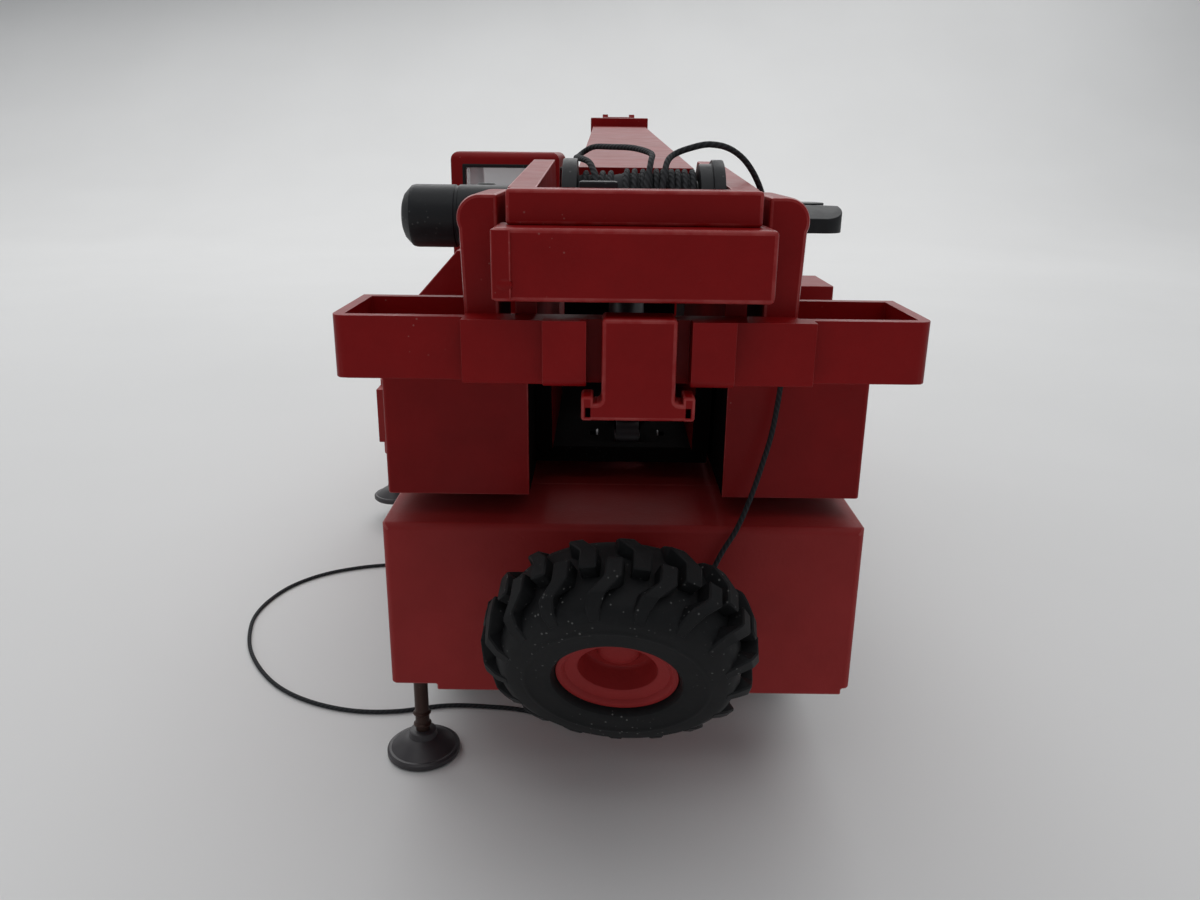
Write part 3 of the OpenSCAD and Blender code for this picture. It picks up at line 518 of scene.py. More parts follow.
    @staticmethod
    def soften(piece: bpy.types.Object, radius: float, segments: int = 2) -> bpy.types.Object:
        """Rounds every sharp edge; the rounded faces take the piece's second material."""
        Bench.modify(piece, "BEVEL", width=radius * MM, segments=segments, limit_method="ANGLE",
                     angle_limit=math.radians(SHARP), material=1,
                     miter_outer="MITER_ARC", use_clamp_overlap=True)
        return piece

    @staticmethod
    def smooth(piece: bpy.types.Object, angle: float = 32) -> None:
        """Shades smooth under an angle, with flat faces kept flat."""
        Bench.hold(piece)
        bpy.ops.object.shade_smooth_by_angle(angle=math.radians(angle))
        Bench.modify(piece, "WEIGHTED_NORMAL", keep_sharp=True)

    @staticmethod
    def copies(piece: bpy.types.Object, moves: Sequence[Matrix]) -> bpy.types.Object:
        """Joins copies of a piece under several moves, each with its own mesh, into one."""
        made = []
        for move in moves:
            other = piece.copy()
            other.data = piece.data.copy()
            other.data.transform(move)
            if move.determinant() < 0:
                other.data.flip_normals()
            bpy.context.collection.objects.link(other)
            made.append(other)
        bpy.data.objects.remove(piece)
        return Bench.join(made)

    @staticmethod
    def join(pieces: Sequence[bpy.types.Object]) -> bpy.types.Object:
        """Joins pieces into the first one."""
        Bench.hold(pieces[0])
        for piece in pieces[1:]:
            piece.select_set(True)
        if len(pieces) > 1:
            bpy.ops.object.join()
        return pieces[0]

    @staticmethod
    def cut(piece: bpy.types.Object, tool: bpy.types.Object) -> None:
        """Takes the tool's shape out of the piece and throws the tool away."""
        Bench.modify(piece, "BOOLEAN", operation="DIFFERENCE", solver="EXACT", object=tool)
        bpy.data.objects.remove(tool)

    @staticmethod
    def dress(piece: bpy.types.Object, look: Look, body: str, *nodes: str,
              smooth: float = 32) -> bpy.types.Object:
        """Gives a piece its finish and its place on the crane.

        Args:
            piece: the finished mesh.
            look: its finish; a painted one brings a lighter edge finish for its rounded edges,
                partly wear and partly painted highlight.
            body: the CAD body that it moves with; empty for a piece that is left unattached.
            nodes: CAD nodes that it stands for.
            smooth: the angle under which it shades smooth.

        Returns:
            The piece.
        """
        slots = piece.data.materials
        if look not in EDGES:
            for face in piece.data.polygons:
                face.material_index = 0
            while len(slots) > 1:
                slots.pop()
        if not slots:
            slots.append(None)
        slots[0] = look.material()
        if look in EDGES:
            slots[1] = EDGES[look].material()
        Bench.smooth(piece, smooth)
        if nodes:
            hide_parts(*nodes)
        if body:
            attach(piece, body)
        Bench.clear()
        log.info("%s rides on %s", piece.name, body or "two bodies")
        return piece


def slide(x: float = 0.0, y: float = 0.0, z: float = 0.0) -> Matrix:
    """A shift in millimetres."""
    return Matrix.Translation(Vector((x, y, z)) * MM)


# ------------------------------------------------------------------ stage

@dataclass
class Studio:
    """Camera, sweep and soft lights."""

    eye: tuple[float, float, float] = (-2.67, -97.66, 75.55)
    yaw: float = -0.06
    pitch: float = 17.81
    roll: float = 0.7
    lens: float = 27.9
    sweep: float = 1.6

    def build(self) -> None:
        """Makes everything round the crane."""
        self.camera()
        self.floor()
        self.lights()

    def camera(self) -> None:
        """The camera, close behind the crane and a little above it."""
        yaw, pitch, roll = (math.radians(v) for v in (self.yaw, self.pitch, self.roll))
        ahead = Vector((math.sin(yaw) * math.cos(pitch), math.cos(yaw) * math.cos(pitch),
                        -math.sin(pitch)))
        across = Vector((math.cos(yaw), -math.sin(yaw), 0))
        up = across.cross(ahead)
        right = across * math.cos(roll) + up * math.sin(roll)
        top = up * math.cos(roll) - across * math.sin(roll)
        camera = bpy.data.objects.new("camera", bpy.data.cameras.new("camera"))
        bpy.context.collection.objects.link(camera)
        camera.data.lens = self.lens
        camera.data.sensor_width = 36
        camera.data.clip_start = 0.004
        turn = Matrix((right, top, -ahead)).transposed().to_4x4()
        camera.matrix_world = Matrix.Translation(at(*self.eye)) @ turn
        bpy.context.scene.camera = camera

    def floor(self) -> None:
        """A pale floor that sweeps up into a wall."""
        far, bend = 1.1, 0.55
        line = [Vector((0, -self.sweep, 0)), Vector((0, far - bend, 0))]
        line += [Vector((0, far - bend + bend * math.sin(a), bend - bend * math.cos(a)))
                 for a in (math.radians(7.5 * i) for i in range(1, 12))]
        line += [Vector((0, far, bend)), Vector((0, far, 1.5))]
        Bench.clear()
        bpy.ops.mesh.primitive_circle_add(vertices=len(line), radius=1, fill_type="NOTHING")
        piece = Bench.take("sweep")
        for vertex, place in zip(piece.data.vertices, line):
            vertex.co = place + Vector((-self.sweep, 0, -0.00004))
        Bench.hold(piece)
        bpy.ops.object.mode_set(mode="EDIT")
        bpy.ops.mesh.select_mode(type="EDGE")
        bpy.ops.mesh.select_all(action="DESELECT")
        mesh = bmesh.from_edit_mesh(piece.data)
        mesh.verts.ensure_lookup_table()
        ends = {0, len(line) - 1}
        for edge in mesh.edges:
            edge.select_set({v.index for v in edge.verts} == ends)
        bmesh.update_edit_mesh(piece.data)
        bpy.ops.mesh.delete(type="EDGE")
        bpy.ops.mesh.select_all(action="SELECT")
        bpy.ops.mesh.extrude_region_move(TRANSFORM_OT_translate={"value": (2 * self.sweep, 0, 0)})
        bpy.ops.object.mode_set(mode="OBJECT")
        Bench.hold(piece)
        bpy.ops.object.shade_smooth()
        s = Shader("pale_card")
        cloud = s.noise(9, 3)
        crease = s.noise(40, 4, 0.6)
        colour = s.mix(rgb(0.70, 0.70, 0.695), rgb(0.76, 0.76, 0.755), cloud)
        piece.data.materials.clear()
        piece.data.materials.append(s.finish(Base_Color=colour, Roughness=0.6 + crease * 0.1,
                                             Specular_IOR_Level=0.25,
                                             Normal=s.bump(crease, 0.12, 0.0004)))

    def lamp(self, name: str, place: Point, aim: Point, size: Point, power: float) -> None:
        """One rectangular soft light, with place and aim in metres."""
        light = bpy.data.lights.new(name, "AREA")
        light.shape = "RECTANGLE"
        light.size, light.size_y = size
        light.energy = power
        made = bpy.data.objects.new(name, light)
        bpy.context.collection.objects.link(made)
        made.matrix_world = Matrix.Translation(place) @ (
            (Vector(aim) - Vector(place)).to_track_quat("-Z", "Y").to_matrix().to_4x4())

    def lights(self) -> None:
        """A wide light overhead, a soft one from behind the crane and a weak one on the left."""
        world = bpy.data.worlds.new("room")
        world.use_nodes = True
        world.node_tree.nodes["Background"].inputs["Color"].default_value = (0.93, 0.96, 1.0, 1.0)
        world.node_tree.nodes["Background"].inputs["Strength"].default_value = 0.3
        bpy.context.scene.world = world
        bpy.context.scene.view_settings.view_transform = "Standard"
        self.lamp("overhead", (0.05, 0.03, 0.85), (0, 0.02, 0), (1.5, 1.1), 3.9)
        self.lamp("behind", (-0.1, 0.8, 0.62), (0, 0.0, 0.06), (1.5, 0.6), 4.6)
        self.lamp("left", (-0.9, 0.1, 0.5), (0, 0.0, 0.05), (0.6, 0.6), 0.5)


# ------------------------------------------------------------------ rope

@dataclass
class Rope:
    """A thread swept along listed points."""

    name: str
    route: Sequence[Point]
    diameter: float = 0.6
    sides: int = 10
    step: float = 0.45

    def path(self) -> list[Vector]:
        """Evenly spaced points on a smooth curve through the route."""
        raw, last = [], len(self.route) - 1
        for i in range(last):
            a, b, c, d = (at(*self.route[max(0, min(last, k))]) for k in range(i - 1, i + 3))
            for j in range(CURVE_STEPS):
                f = j / CURVE_STEPS
                raw.append(0.5 * (2 * b + (c - a) * f + (2 * a - 5 * b + 4 * c - d) * f * f
                                  + (3 * b - a - 3 * c + d) * f ** 3))
        raw.append(at(*self.route[-1]))
        line, gap = [raw[0]], self.step * MM
        for here, there in zip(raw, raw[1:]):
            while (there - line[-1]).length >= gap:
                line.append(line[-1] + (there - line[-1]).normalized() * gap)
        return line + [raw[-1]]

    def build(self, line: Sequence[Vector]) -> bpy.types.Object:
        """A closed tube along a line, with u round the thread and v along it in diameters."""
        radius = self.diameter * MM / 2
        vertices, normal = [], Vector((0, 1, 0))
        for i, place in enumerate(line):
            ahead = (line[min(i + 1, len(line) - 1)] - line[max(i - 1, 0)]).normalized()
            normal = (normal - ahead * normal.dot(ahead)).normalized()
            side = ahead.cross(normal)
            for k in range(self.sides):
                a = 2 * math.pi * k / self.sides
                vertices.append(place + radius * (math.cos(a) * normal + math.sin(a) * side))
        n, last = self.sides, (len(line) - 1) * self.sides
        faces = [[i * n + k, i * n + (k + 1) % n, (i + 1) * n + (k + 1) % n, (i + 1) * n + k]
                 for i in range(len(line) - 1) for k in range(n)]
        faces += [list(range(n))[::-1], [last + k for k in range(n)]]
        mesh = bpy.data.meshes.new(self.name)
        mesh.from_pydata(vertices, [], faces)
        uv = mesh.uv_layers.new(name="UVMap")
        for face in mesh.polygons:
            for loop in face.loop_indices:
                index = mesh.loops[loop].vertex_index
                around = (index % n) / n
                if len(face.vertices) == 4 and face.index % n == n - 1 and around == 0:
                    around = 1.0
                uv.data[loop].uv = (around, index // n * self.step / self.diameter)
        piece = bpy.data.objects.new(self.name, mesh)
        bpy.context.collection.objects.link(piece)
        return piece


@dataclass
class Ropework:
    """The loose end on the floor, its knot, and the slack loop over the drum."""

    tail: Sequence[Point] = (
        (2.6, -8.7, 71.9), (2.9, -7.7, 73.4), (3.2, -6.2, 74.6), (3.9, -4.6, 75.3),
        (5.4, -4.1, 75.9), (7.5, -3.6, 76.3), (9.8, -2.2, 75.8),
        (11.8, -0.9, 74.2), (13.6, 0.9, 71.2), (15, 1.6, 66), (16.3, 1.6, 60), (17, 1.6, 54),
        (16.4, 1.2, 47), (15.2, 0.6, 42), (13.9, -0.1, 38), (12.6, -0.7, 35), (11, -0.8, 32),
        (9, -0.8, 27), (6.6, -0.8, 21), (4.2, -0.8, 15), (3.4, -0.6, 12.6), (1.6, 1.4, 9),
        (-1, 4.6, 5), (-4.2, 9, 2.2), (-8.6, 13.6, 0.5), (-13, 16, 0.3), (-17.6, 16.8, 0.3),
        (-24, 17, 0.3), (-31, 15.4, 0.3),
        (-37, 15.4, 0.3), (-43, 17.2, 0.3), (-48.4, 20.4, 0.3), (-53, 25, 0.3), (-57, 31, 0.3),
        (-59.4, 37, 0.3), (-60.6, 43, 0.3), (-60, 49, 0.3), (-57.8, 54.6, 0.3),
        (-53.4, 59.4, 0.3), (-47, 62.6, 0.3), (-40, 64, 0.3), (-32, 64, 0.3), (-24, 63, 0.3),
        (-16, 62.4, 0.3), (-9, 63.4, 0.3))
    loop: Sequence[Point] = (
        (1.2, -8.7, 71.9), (1.4, -7.7, 73.4), (1.7, -6, 74.7), (1.8, -3, 75.4),
        (0.2, 1.6, 75.9), (-2, 5.6, 76), (-3.8, 8.6, 76), (-4.9, 9.8, 75.5), (-5.5, 8.4, 75),
        (-5.6, 4, 74.9), (-5.4, -0.6, 74.9), (-4.7, -3.6, 74.8), (-4, -5.7, 74.4),
        (-3.5, -7.7, 73.2), (-3.4, -8.6, 71.8))

    def build(self) -> None:
        low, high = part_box("rope_knot")
        knot = self.knot((low + high) / 2, (high - low).z / 2)
        rope = Rope("loose_rope", self.tail)
        line = rope.path()
        length = sum((b - a).length for a, b in zip(line, line[1:]))
        piece = rope.build(line)
        Bench.dress(piece, Look.ROPE, "", "rope_tail", smooth=60)
        at(0, 60, 70)
        at(0, 60, 38)
        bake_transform(piece)
        rope.diameter * MM
        slack = Rope("slack_rope", self.loop)
        Bench.dress(slack.build(slack.path()), Look.ROPE, "superstructure", "slack_loop", smooth=60)

    def knot(self, centre: Vector, radius: float) -> bpy.types.Object:
        """A small overhand knot: three crossing turns of thread round the end."""
        size, steps = radius / MM, 48
        places = []
        for i in range(2 * steps + 1):
            a = 2 * math.pi * i / steps
            lobe = 1 + 0.45 * math.cos(1.5 * a)
            places.append(((centre.x / MM) + 0.36 * size * lobe * math.cos(a),
                           (centre.y - REAR) / MM + 0.36 * size * lobe * math.sin(a),
                           size + 0.3 * size * math.sin(1.5 * a)))
        turns = Rope("rope_end_knot", places, 0.55 * size, 8, 0.12)
        return Bench.dress(turns.build([at(*p) for p in places]), Look.ROPE, "carrier",
                           "rope_knot", smooth=60)


# ------------------------------------------------------------------ places on the crane

EdgeTest = Callable[[Vector, Vector], bool]


def span(node: str) -> tuple[Vector, Vector]:
    """A CAD node's lowest and highest corner, in millimetres from the rear face."""
    low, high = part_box(node)
    shift = Vector((0, REAR, 0))
    return (low - shift) / MM, (high - shift) / MM


def body_of(node: str) -> str:
    """The body that a CAD node moves with."""
    return frame["nodes"][node]["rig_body"]


def on(tolerance: float = 0.08, **where: float) -> EdgeTest:
    """A test for edges that lie at given x, y or z; half is the distance from the middle plane."""
    def test(a: Vector, b: Vector) -> bool:
        """Whether both ends lie there."""
        return all(abs((abs(p.x) if key == "half" else getattr(p, key)) - value) < tolerance
                   for p in (a, b) for key, value in where.items())
    return test


def any_of(*tests: EdgeTest) -> EdgeTest:
    """A test that passes where one of several does."""
    return lambda a, b: any(test(a, b) for test in tests)


def bar(name: str, radius: float, start: Point, end: Point, steps: int = 24) -> bpy.types.Object:
    """A round bar with chamfered ends between two places."""
    a, b = at(*start), at(*end)
    long, worn = (b - a).length / MM, radius * 0.18
    profile = [(0, 0), (radius - worn, 0), (radius, worn), (radius, long - worn),
               (radius - worn, long), (0, long)]
    return Bench.lathe(name, profile, a, (b - a).normalized(), steps)


def box_piece(name: str, low: Point, high: Point, radius: float = 0.2) -> bpy.types.Object:
    """A block with rounded edges."""
    return Bench.soften(Bench.block(name, at(*low), at(*high)), radius)


def window(name: str, low: Point, high: Point, across: str, rim: float = 0.55) -> bpy.types.Object:
    """A flat seal round an opening; across is the axis that goes through the opening."""
    wide = Vector([0 if key == across else rim for key in "xyz"])
    deep = Vector([0.5 if key == across else 0 for key in "xyz"])
    piece = Bench.block(name, at(*(Vector(low) - wide)), at(*(Vector(high) + wide)))
    Bench.cut(piece, Bench.block("hole", at(*(Vector(low) - deep)), at(*(Vector(high) + deep))))
    return Bench.soften(piece, 0.12, 1)


@dataclass
class Casting:
    """A painted casting: a CAD node's shape with rounded edges in a lighter finish, partly wear and
    partly painted highlight.
    """

    node: str
    look: Look
    radius: float
    segments: int = 2
    rounds: Sequence[tuple[EdgeTest, float]] = ()

    def shape(self) -> bpy.types.Object:
        """The node's shape with its large rounds, still with sharp small edges."""
        piece = Bench.copy_node(self.node, self.node + "_shell")
        for test, radius in self.rounds:
            Bench.round_edges(piece, test, radius)
        return piece

    def build(self, cuts: Sequence[bpy.types.Object] = (),
              extras: Sequence[bpy.types.Object] = ()) -> bpy.types.Object:
        """Cuts the casting, rounds its edges, adds small parts and dresses it."""
        piece = self.shape()
        for tool in cuts:
            Bench.cut(piece, tool)
        Bench.soften(piece, self.radius, self.segments)
        piece = Bench.join([piece, *extras])
        return Bench.dress(piece, self.look, body_of(self.node), self.node)


def paint_shade(piece: bpy.types.Object, test: Callable[[Vector], bool]) -> None:
    """Puts the painted shade finish, near-black, on the faces whose middles pass a test, in
    millimetres.
    """
    piece.data.materials.append(Look.SOOT.material())
    last = len(piece.data.materials) - 1
    shift = Vector((0, REAR, 0))
    for face in piece.data.polygons:
        if test((face.center - shift) / MM):
            face.material_index = last


def groove(name: str, low: Point, high: Point, across: str, width: float = 0.3,
           depth: float = 0.3) -> bpy.types.Object:
    """A cutter for a panel line; low and high lie on the surface, depth goes both ways."""
    deep = Vector([depth if key == across else 0 for key in "xyz"])
    thin = Vector([0 if key == across else width for key in "xyz"])
    more = Vector([1 if key == across else 0 for key in "xyz"])
    a, b = Vector(low) - deep, Vector(high) + deep
    piece = Bench.block(name, at(*a), at(*b))
    Bench.cut(piece, Bench.block("core", at(*(a + thin - more)), at(*(b - thin + more))))
    return piece


# ------------------------------------------------------------------ wheels

@dataclass
class Wheels:
    """Road wheels and the spare: lugged tyres and dished rims, made once and copied."""

    lugs: int = 17
    half: float = 4.8
    tread: float = 14.25
    carcass: float = 12.5
    spare: tuple[float, float, float] = (-0.5, -12.2, 26.9)

    def shoulder(self, along: float, under: float) -> tuple[float, float]:
        """Radius and side distance of the tread's outline.

        Args:
            along: distance along the outline from the tyre's middle, in millimetres.
            under: how far below the outline.

        Returns:
            The radius and the distance from the middle plane.
        """
        line = [(self.tread, 0), (self.tread, 2.6), (self.tread - 1.0, 3.75), (10.85, 4.8),
                (8.6, 4.72)]
        away = -1 if along < 0 else 1
        left = abs(along)
        for (r0, w0), (r1, w1) in zip(line, line[1:]):
            size = math.hypot(r1 - r0, w1 - w0)
            if left <= size or (r1, w1) == line[-1]:
                share = min(left / size, 1)
                nr, nw = (w1 - w0) / size, -(r1 - r0) / size
                return (r0 + (r1 - r0) * share - abs(nr) * under,
                        away * (w0 + (w1 - w0) * share - abs(nw) * under))
            left -= size
        return line[-1]

    def lug(self) -> bpy.types.Object:
        """One bent tread lug that runs over the shoulder."""
        centre = [(0, -0.6), (0, 1.5), (1.6, 3.4), (2.1, 5.0), (2.1, 6.5)]
        last = len(centre) - 1
        Bench.clear()
        bpy.ops.mesh.primitive_cube_add(size=1, location=(0, last / 2, 0), scale=(1, last, 1))
        piece = Bench.take("lug")
        bpy.ops.object.mode_set(mode="EDIT")
        for i in range(1, last):
            bpy.ops.mesh.select_all(action="SELECT")
            bpy.ops.mesh.bisect(plane_co=(0, i, 0), plane_no=(0, 1, 0))
        bpy.ops.object.mode_set(mode="OBJECT")
        for v in piece.data.vertices:
            i = round(v.co.y)
            s, w = centre[i]
            wide = (1.75, 1.75, 1.7, 1.6, 1.5)[i] * (1.0 if v.co.z > 0 else 1.16)
            r, z = self.shoulder(w, 0.04 if v.co.z > 0 else 1.9)
            turn = (s + v.co.x * wide) / self.tread
            v.co = Vector((r * math.cos(turn), r * math.sin(turn), z)) * MM
        Bench.hold(piece)
        Bench.edit()
        Bench.face_out()
        return Bench.soften(piece, 0.16, 1)

    def tyre(self) -> bpy.types.Object:
        """A tyre round Z with its middle at the origin."""
        c = self.carcass
        half = [(6.35, 3.9), (6.7, 4.45), (7.4, 4.62), (8.9, 4.66), (9.15, 4.8), (9.5, 4.8),
                (9.75, 4.68), (10.9, 4.7), (c - 0.75, 4.2), (c - 0.15, 3.2), (c, 1.6)]
        outline = half + [(r, -h) for r, h in reversed(half)]
        body = Bench.lathe("carcass", outline, Vector(), Vector((0, 0, 1)), 96)
        pitch = 2 * math.pi / self.lugs
        rows = [Matrix.Rotation(pitch * i, 4, "Z") for i in range(self.lugs)]
        flip = Matrix.Scale(-1, 4, Vector((0, 0, 1)))
        rows += [Matrix.Rotation(pitch * (i + 0.5), 4, "Z") @ flip for i in range(self.lugs)]
        return Bench.join([body, Bench.copies(self.lug(), rows)])

    def rim(self) -> bpy.types.Object:
        """A dished rim round Z with the tyre's middle at the origin."""
        outline = [(0, 2.3), (4.8, 2.3), (5.2, 1.3), (6.3, 1.3), (6.33, 8.3), (6.2, 8.48),
                   (5.75, 8.5), (5.55, 8.35), (5.35, 8.0), (4.95, 7.85), (4.35, 7.8), (4.1, 7.6),
                   (3.75, 5.5), (3.45, 5.15), (2.6, 5.02), (2.4, 5.1), (2.25, 5.55), (1.9, 5.85),
                   (1.1, 6.0), (0, 6.05)]
        return Bench.lathe("rim", [(r, h - self.half) for r, h in outline], Vector(),
                           Vector((0, 0, 1)), 64)

    def place(self, pattern: bpy.types.Object, node: str, look: Look, move: Matrix) -> None:
        """Puts a copy of a pattern where a CAD node is."""
        piece = pattern.copy()
        piece.data = pattern.data.copy()
        piece.name = piece.data.name = node + "_shape"
        piece.data.transform(move)
        if move.determinant() < 0:
            piece.data.flip_normals()
        bpy.context.collection.objects.link(piece)
        Bench.dress(piece, look, body_of(node), node, smooth=38)

    def build(self) -> None:
        """Makes all wheels."""
        tyre, rim = self.tyre(), self.rim()
        lean = Vector((-0.076954, -0.879588, -0.469472)).to_track_quat("Z", "Y")
        moves = {"spare": Matrix.Translation(at(*self.spare)) @ lean.to_matrix().to_4x4()
                 @ Matrix.Rotation(math.radians(6), 4, "Z")}
        for end in ("rear", "front"):
            for hand, sign in (("left", -1), ("right", 1)):
                low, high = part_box(f"{end}_{hand}_tyre")
                turn = Matrix.Rotation(math.radians(90 * sign), 4, "Y")
                moves[f"{end}_{hand}"] = Matrix.Translation((low + high) / 2) @ turn
        for key, move in moves.items():
            self.place(tyre, key + "_tyre", Look.TYRE, move)
            self.place(rim, key + "_rim", Look.BOX_RED, move)
        for pattern in (tyre, rim):
            bpy.data.objects.remove(pattern)


# ------------------------------------------------------------------ carrier

@dataclass
class Carrier:
    """Chassis, deck, outriggers, cab and everything else that stands on the wheels."""

    half: float = 27.5

    def build(self) -> None:
        """Makes the carrier's pieces."""
        self.boxes()
        self.outriggers()
        self.deck()
        self.cab()
        self.sides()

    def boxes(self) -> None:
        """The two outrigger boxes, the spare wheel's bracket and the chassis frame."""
        corners = on(half=self.half, y=0.0)
        Casting("rear_outrigger_box", Look.BOX_RED, 0.32, 3, [(corners, 0.8)]).build()
        Casting("front_outrigger_box", Look.BOX_RED, 0.3).build()
        Casting("spare_wheel_bracket", Look.BOX_RED, 0.25).build()
        Casting("chassis_frame", Look.BOX_RED, 0.25).build()
        lamps = [box_piece("tail_lamp", (s * 21.4 - 2.2, 13.2, 10.9),
                           (s * 21.4 + 2.2, 14.4, 13.4)) for s in (-1, 1)]
        holder = box_piece("lamp_bar", (-24.5, 13.6, 12.6), (24.5, 14.6, 14.4), 0.15)
        Bench.dress(holder, Look.BLACK, "carrier")
        Bench.dress(Bench.join(lamps), Look.RUBY, "carrier")

    def outriggers(self) -> None:
        """Beams with their jack tubes, rods and feet."""
        for key in ("rear_left", "rear_right", "front_left", "front_right"):
            top = span(key + "_beam")[1].z
            low, high = span(key + "_jack")
            x, y = (low.x + high.x) / 2, (low.y + high.y) / 2
            cap = bar("tube_cap", 1.3, (x, y, top - 0.1), (x, y, top + 0.35))
            Casting(key + "_beam", Look.BOX_RED, 0.25).build(extras=[cap])
            rings = [bar("rod_ring", 1.15, (x, y, low.z + h), (x, y, low.z + h + 0.5))
                     for h in (0.6, 2.2)]
            rod = Bench.copy_node(key + "_jack", key + "_rod")
            Bench.dress(Bench.join([rod, *rings]), Look.BROWN, body_of(key + "_jack"),
                        key + "_jack")
            if key + "_foot" in frame["nodes"]:
                self.foot(key + "_foot")

    def foot(self, node: str) -> None:
        """A round foot plate with a rolled rim, a domed top and a collar."""
        low, high = span(node)
        x, y = (low.x + high.x) / 2, (low.y + high.y) / 2
        r, top = (high.x - low.x) / 2, high.z - low.z
        outline = [(0, 0.25), (r - 1.1, 0.25), (r - 0.8, 0), (r - 0.25, 0), (r, 0.25), (r, 0.8),
                   (r - 0.25, 1.02), (r - 0.55, 1.05), (r - 0.8, 1.25), (r * 0.6, 2.0),
                   (2.2, top - 1.05), (1.85, top - 0.9), (1.7, top - 0.12), (1.5, top), (0, top)]
        piece = Bench.lathe(node + "_shape", outline, at(x, y, low.z), Vector((0, 0, 1)), 56)
        Bench.dress(piece, Look.BLACK, body_of(node), node)

    def deck(self) -> None:
        """The deck with its raised edge strips and hatches."""
        top = span("carrier_deck")[1].z
        hatches = [box_piece("hatch", (x - 5, y, top - 0.1), (x + 5, y + 9, top + 0.45), 0.15)
                   for x in (-19.5, 19.5) for y in (98, 112)]
        Casting("carrier_deck", Look.BOX_RED, 0.28).build(extras=hatches)
        bolts = [bar("ring_bolt", 0.45, (15.6 * math.cos(a), 60 + 15.6 * math.sin(a), top - 0.1),
                     (15.6 * math.cos(a), 60 + 15.6 * math.sin(a), top + 0.5), 8)
                 for a in (math.radians(15 * i) for i in range(24))]
        Bench.dress(Bench.join(bolts), Look.GREY, "carrier")

    def cab(self) -> None:
        """The driver's cab, its glass seals, doors, lamps, seats, wheel, mirrors and bumper."""
        low, high = span("driver_cab")
        half, rear, nose, top = high.x, low.y, high.y, high.z
        doors = [groove("door", (s * half, rear + 7, 22.5), (s * half, nose - 8.2, 50.2), "x")
                 for s in (-1, 1)]
        grille = [Bench.block("slot", at(-12, nose - 0.5, z), at(12, nose + 0.5, z + 0.7))
                  for z in (24.0, 25.6, 27.2, 28.8)]
        handles = []
        for s in (-1, 1):
            left, right = sorted((s * (half - 0.1), s * (half + 0.6)))
            handles.append(box_piece("handle", (left, rear + 9, 35.2),
                                     (right, rear + 12, 36), 0.15))
        corners = any_of(on(half=half, y=nose), on(z=top, half=half), on(z=top, y=rear))
        Casting("driver_cab", Look.RED, 0.35,
                rounds=[(corners, 1.1)]).build(doors + grille, handles)
        Casting("front_bumper", Look.RED, 0.5).build()
        seals = [window("side_seal", (s * half - 0.12, rear + 8, 38.5),
                        (s * half + 0.12, nose - 9, 49), "x") for s in (-1, 1)]
        seals.append(window("rear_seal", (-half + 5, rear - 0.12, 41),
                            (half - 5, rear + 0.12, 49), "y"))
        wipers = [bar("wiper", 0.22, (x, nose + 0.05, 38.2), (x + 6, nose - 2.3, 46), 8)
                  for x in (-14, 3)]
        Bench.dress(Bench.join(seals + wipers), Look.SEAL, "carrier")
        seats = []
        for x in (-14, 14):
            seats += [box_piece("cushion", (x - 4, rear + 9, 37.2), (x + 4, rear + 17, 39.4), 0.8),
                      box_piece("back", (x - 4, rear + 7.2, 39), (x + 4, rear + 9.4, 47.5), 0.8)]
        seats.append(box_piece("dash", (-half + 2, nose - 6, 37), (half - 2, nose - 1.6, 40), 0.6))
        seats.append(bar("column", 0.35, (-14, nose - 6.2, 39), (-14, nose - 9.4, 42), 10))
        wheel = Bench.lathe("wheel", [(2.5, -0.2), (2.9, -0.2), (2.9, 0.2), (2.5, 0.2)],
                            at(-14, nose - 9.5, 42.1), Vector((0, -0.73, 0.68)), 28)
        Bench.dress(Bench.join(seats + [wheel]), Look.SEAT, "carrier")
        lamps = [bar("head_lamp", 1.65, (s * 21.5, nose + 2.2, 17), (s * 21.5, nose + 2.95, 17), 28)
                 for s in (-1, 1)]
        Bench.dress(Bench.join(lamps), Look.LAMP, "carrier")
        blinkers = [box_piece("blinker", (s * 24.2 - 1.1, nose - 0.2, 23),
                              (s * 24.2 + 1.1, nose + 0.6, 24.8)) for s in (-1, 1)]
        Bench.dress(Bench.join(blinkers), Look.AMBER, "carrier")
        mirrors = []
        for s in (-1, 1):
            mirrors += [box_piece("mirror", (s * 27.1 - 0.45, nose - 5.4, 40),
                                  (s * 27.1 + 0.45, nose - 3, 46), 0.3),
                        bar("arm", 0.25, (s * 25.6, nose - 4.6, 47.2),
                            (s * 27.1, nose - 4.2, 45.6), 8)]
        Bench.dress(Bench.join(mirrors), Look.BLACK, "carrier")

    def sides(self) -> None:
        """Tank, battery box and steps between the axles."""
        tank = bar("tank", 5.6, (21.2, 53.5, 26.2), (21.2, 77, 26.2), 40)
        straps = [bar("strap", 5.75, (21.2, y, 26.2), (21.2, y + 1.1, 26.2), 40)
                  for y in (57.5, 71)]
        cap = bar("filler", 1.2, (24.5, 66, 30.3), (25.3, 66, 31.6), 20)
        Bench.dress(Bench.join([tank, *straps, cap]), Look.BLACK, "carrier")
        box = box_piece("battery_box", (-27, 53, 20.5), (-15.4, 77.5, 33.3), 0.5)
        for y in (55, 66.5):
            Bench.cut(box, groove("lid", (-27.0, y, 22), (-27.0, y + 9.5, 31.6), "x", 0.3, 0.25))
        Bench.dress(box, Look.BOX_RED, "carrier")
        steps = []
        y = 99.5
        for x in (-23.5, 23.5):
            steps += [box_piece("step", (x - 3, y, z), (x + 3, y + 2, z + 0.8), 0.15)
                      for z in (23.0, 28.5)]
            steps += [box_piece("hanger", (x + d - 0.3, y + 0.7, 22.8),
                                (x + d + 0.3, y + 1.3, 33.6), 0.1) for d in (-2.7, 2.7)]
        Bench.dress(Bench.join(steps), Look.BLACK, "carrier")


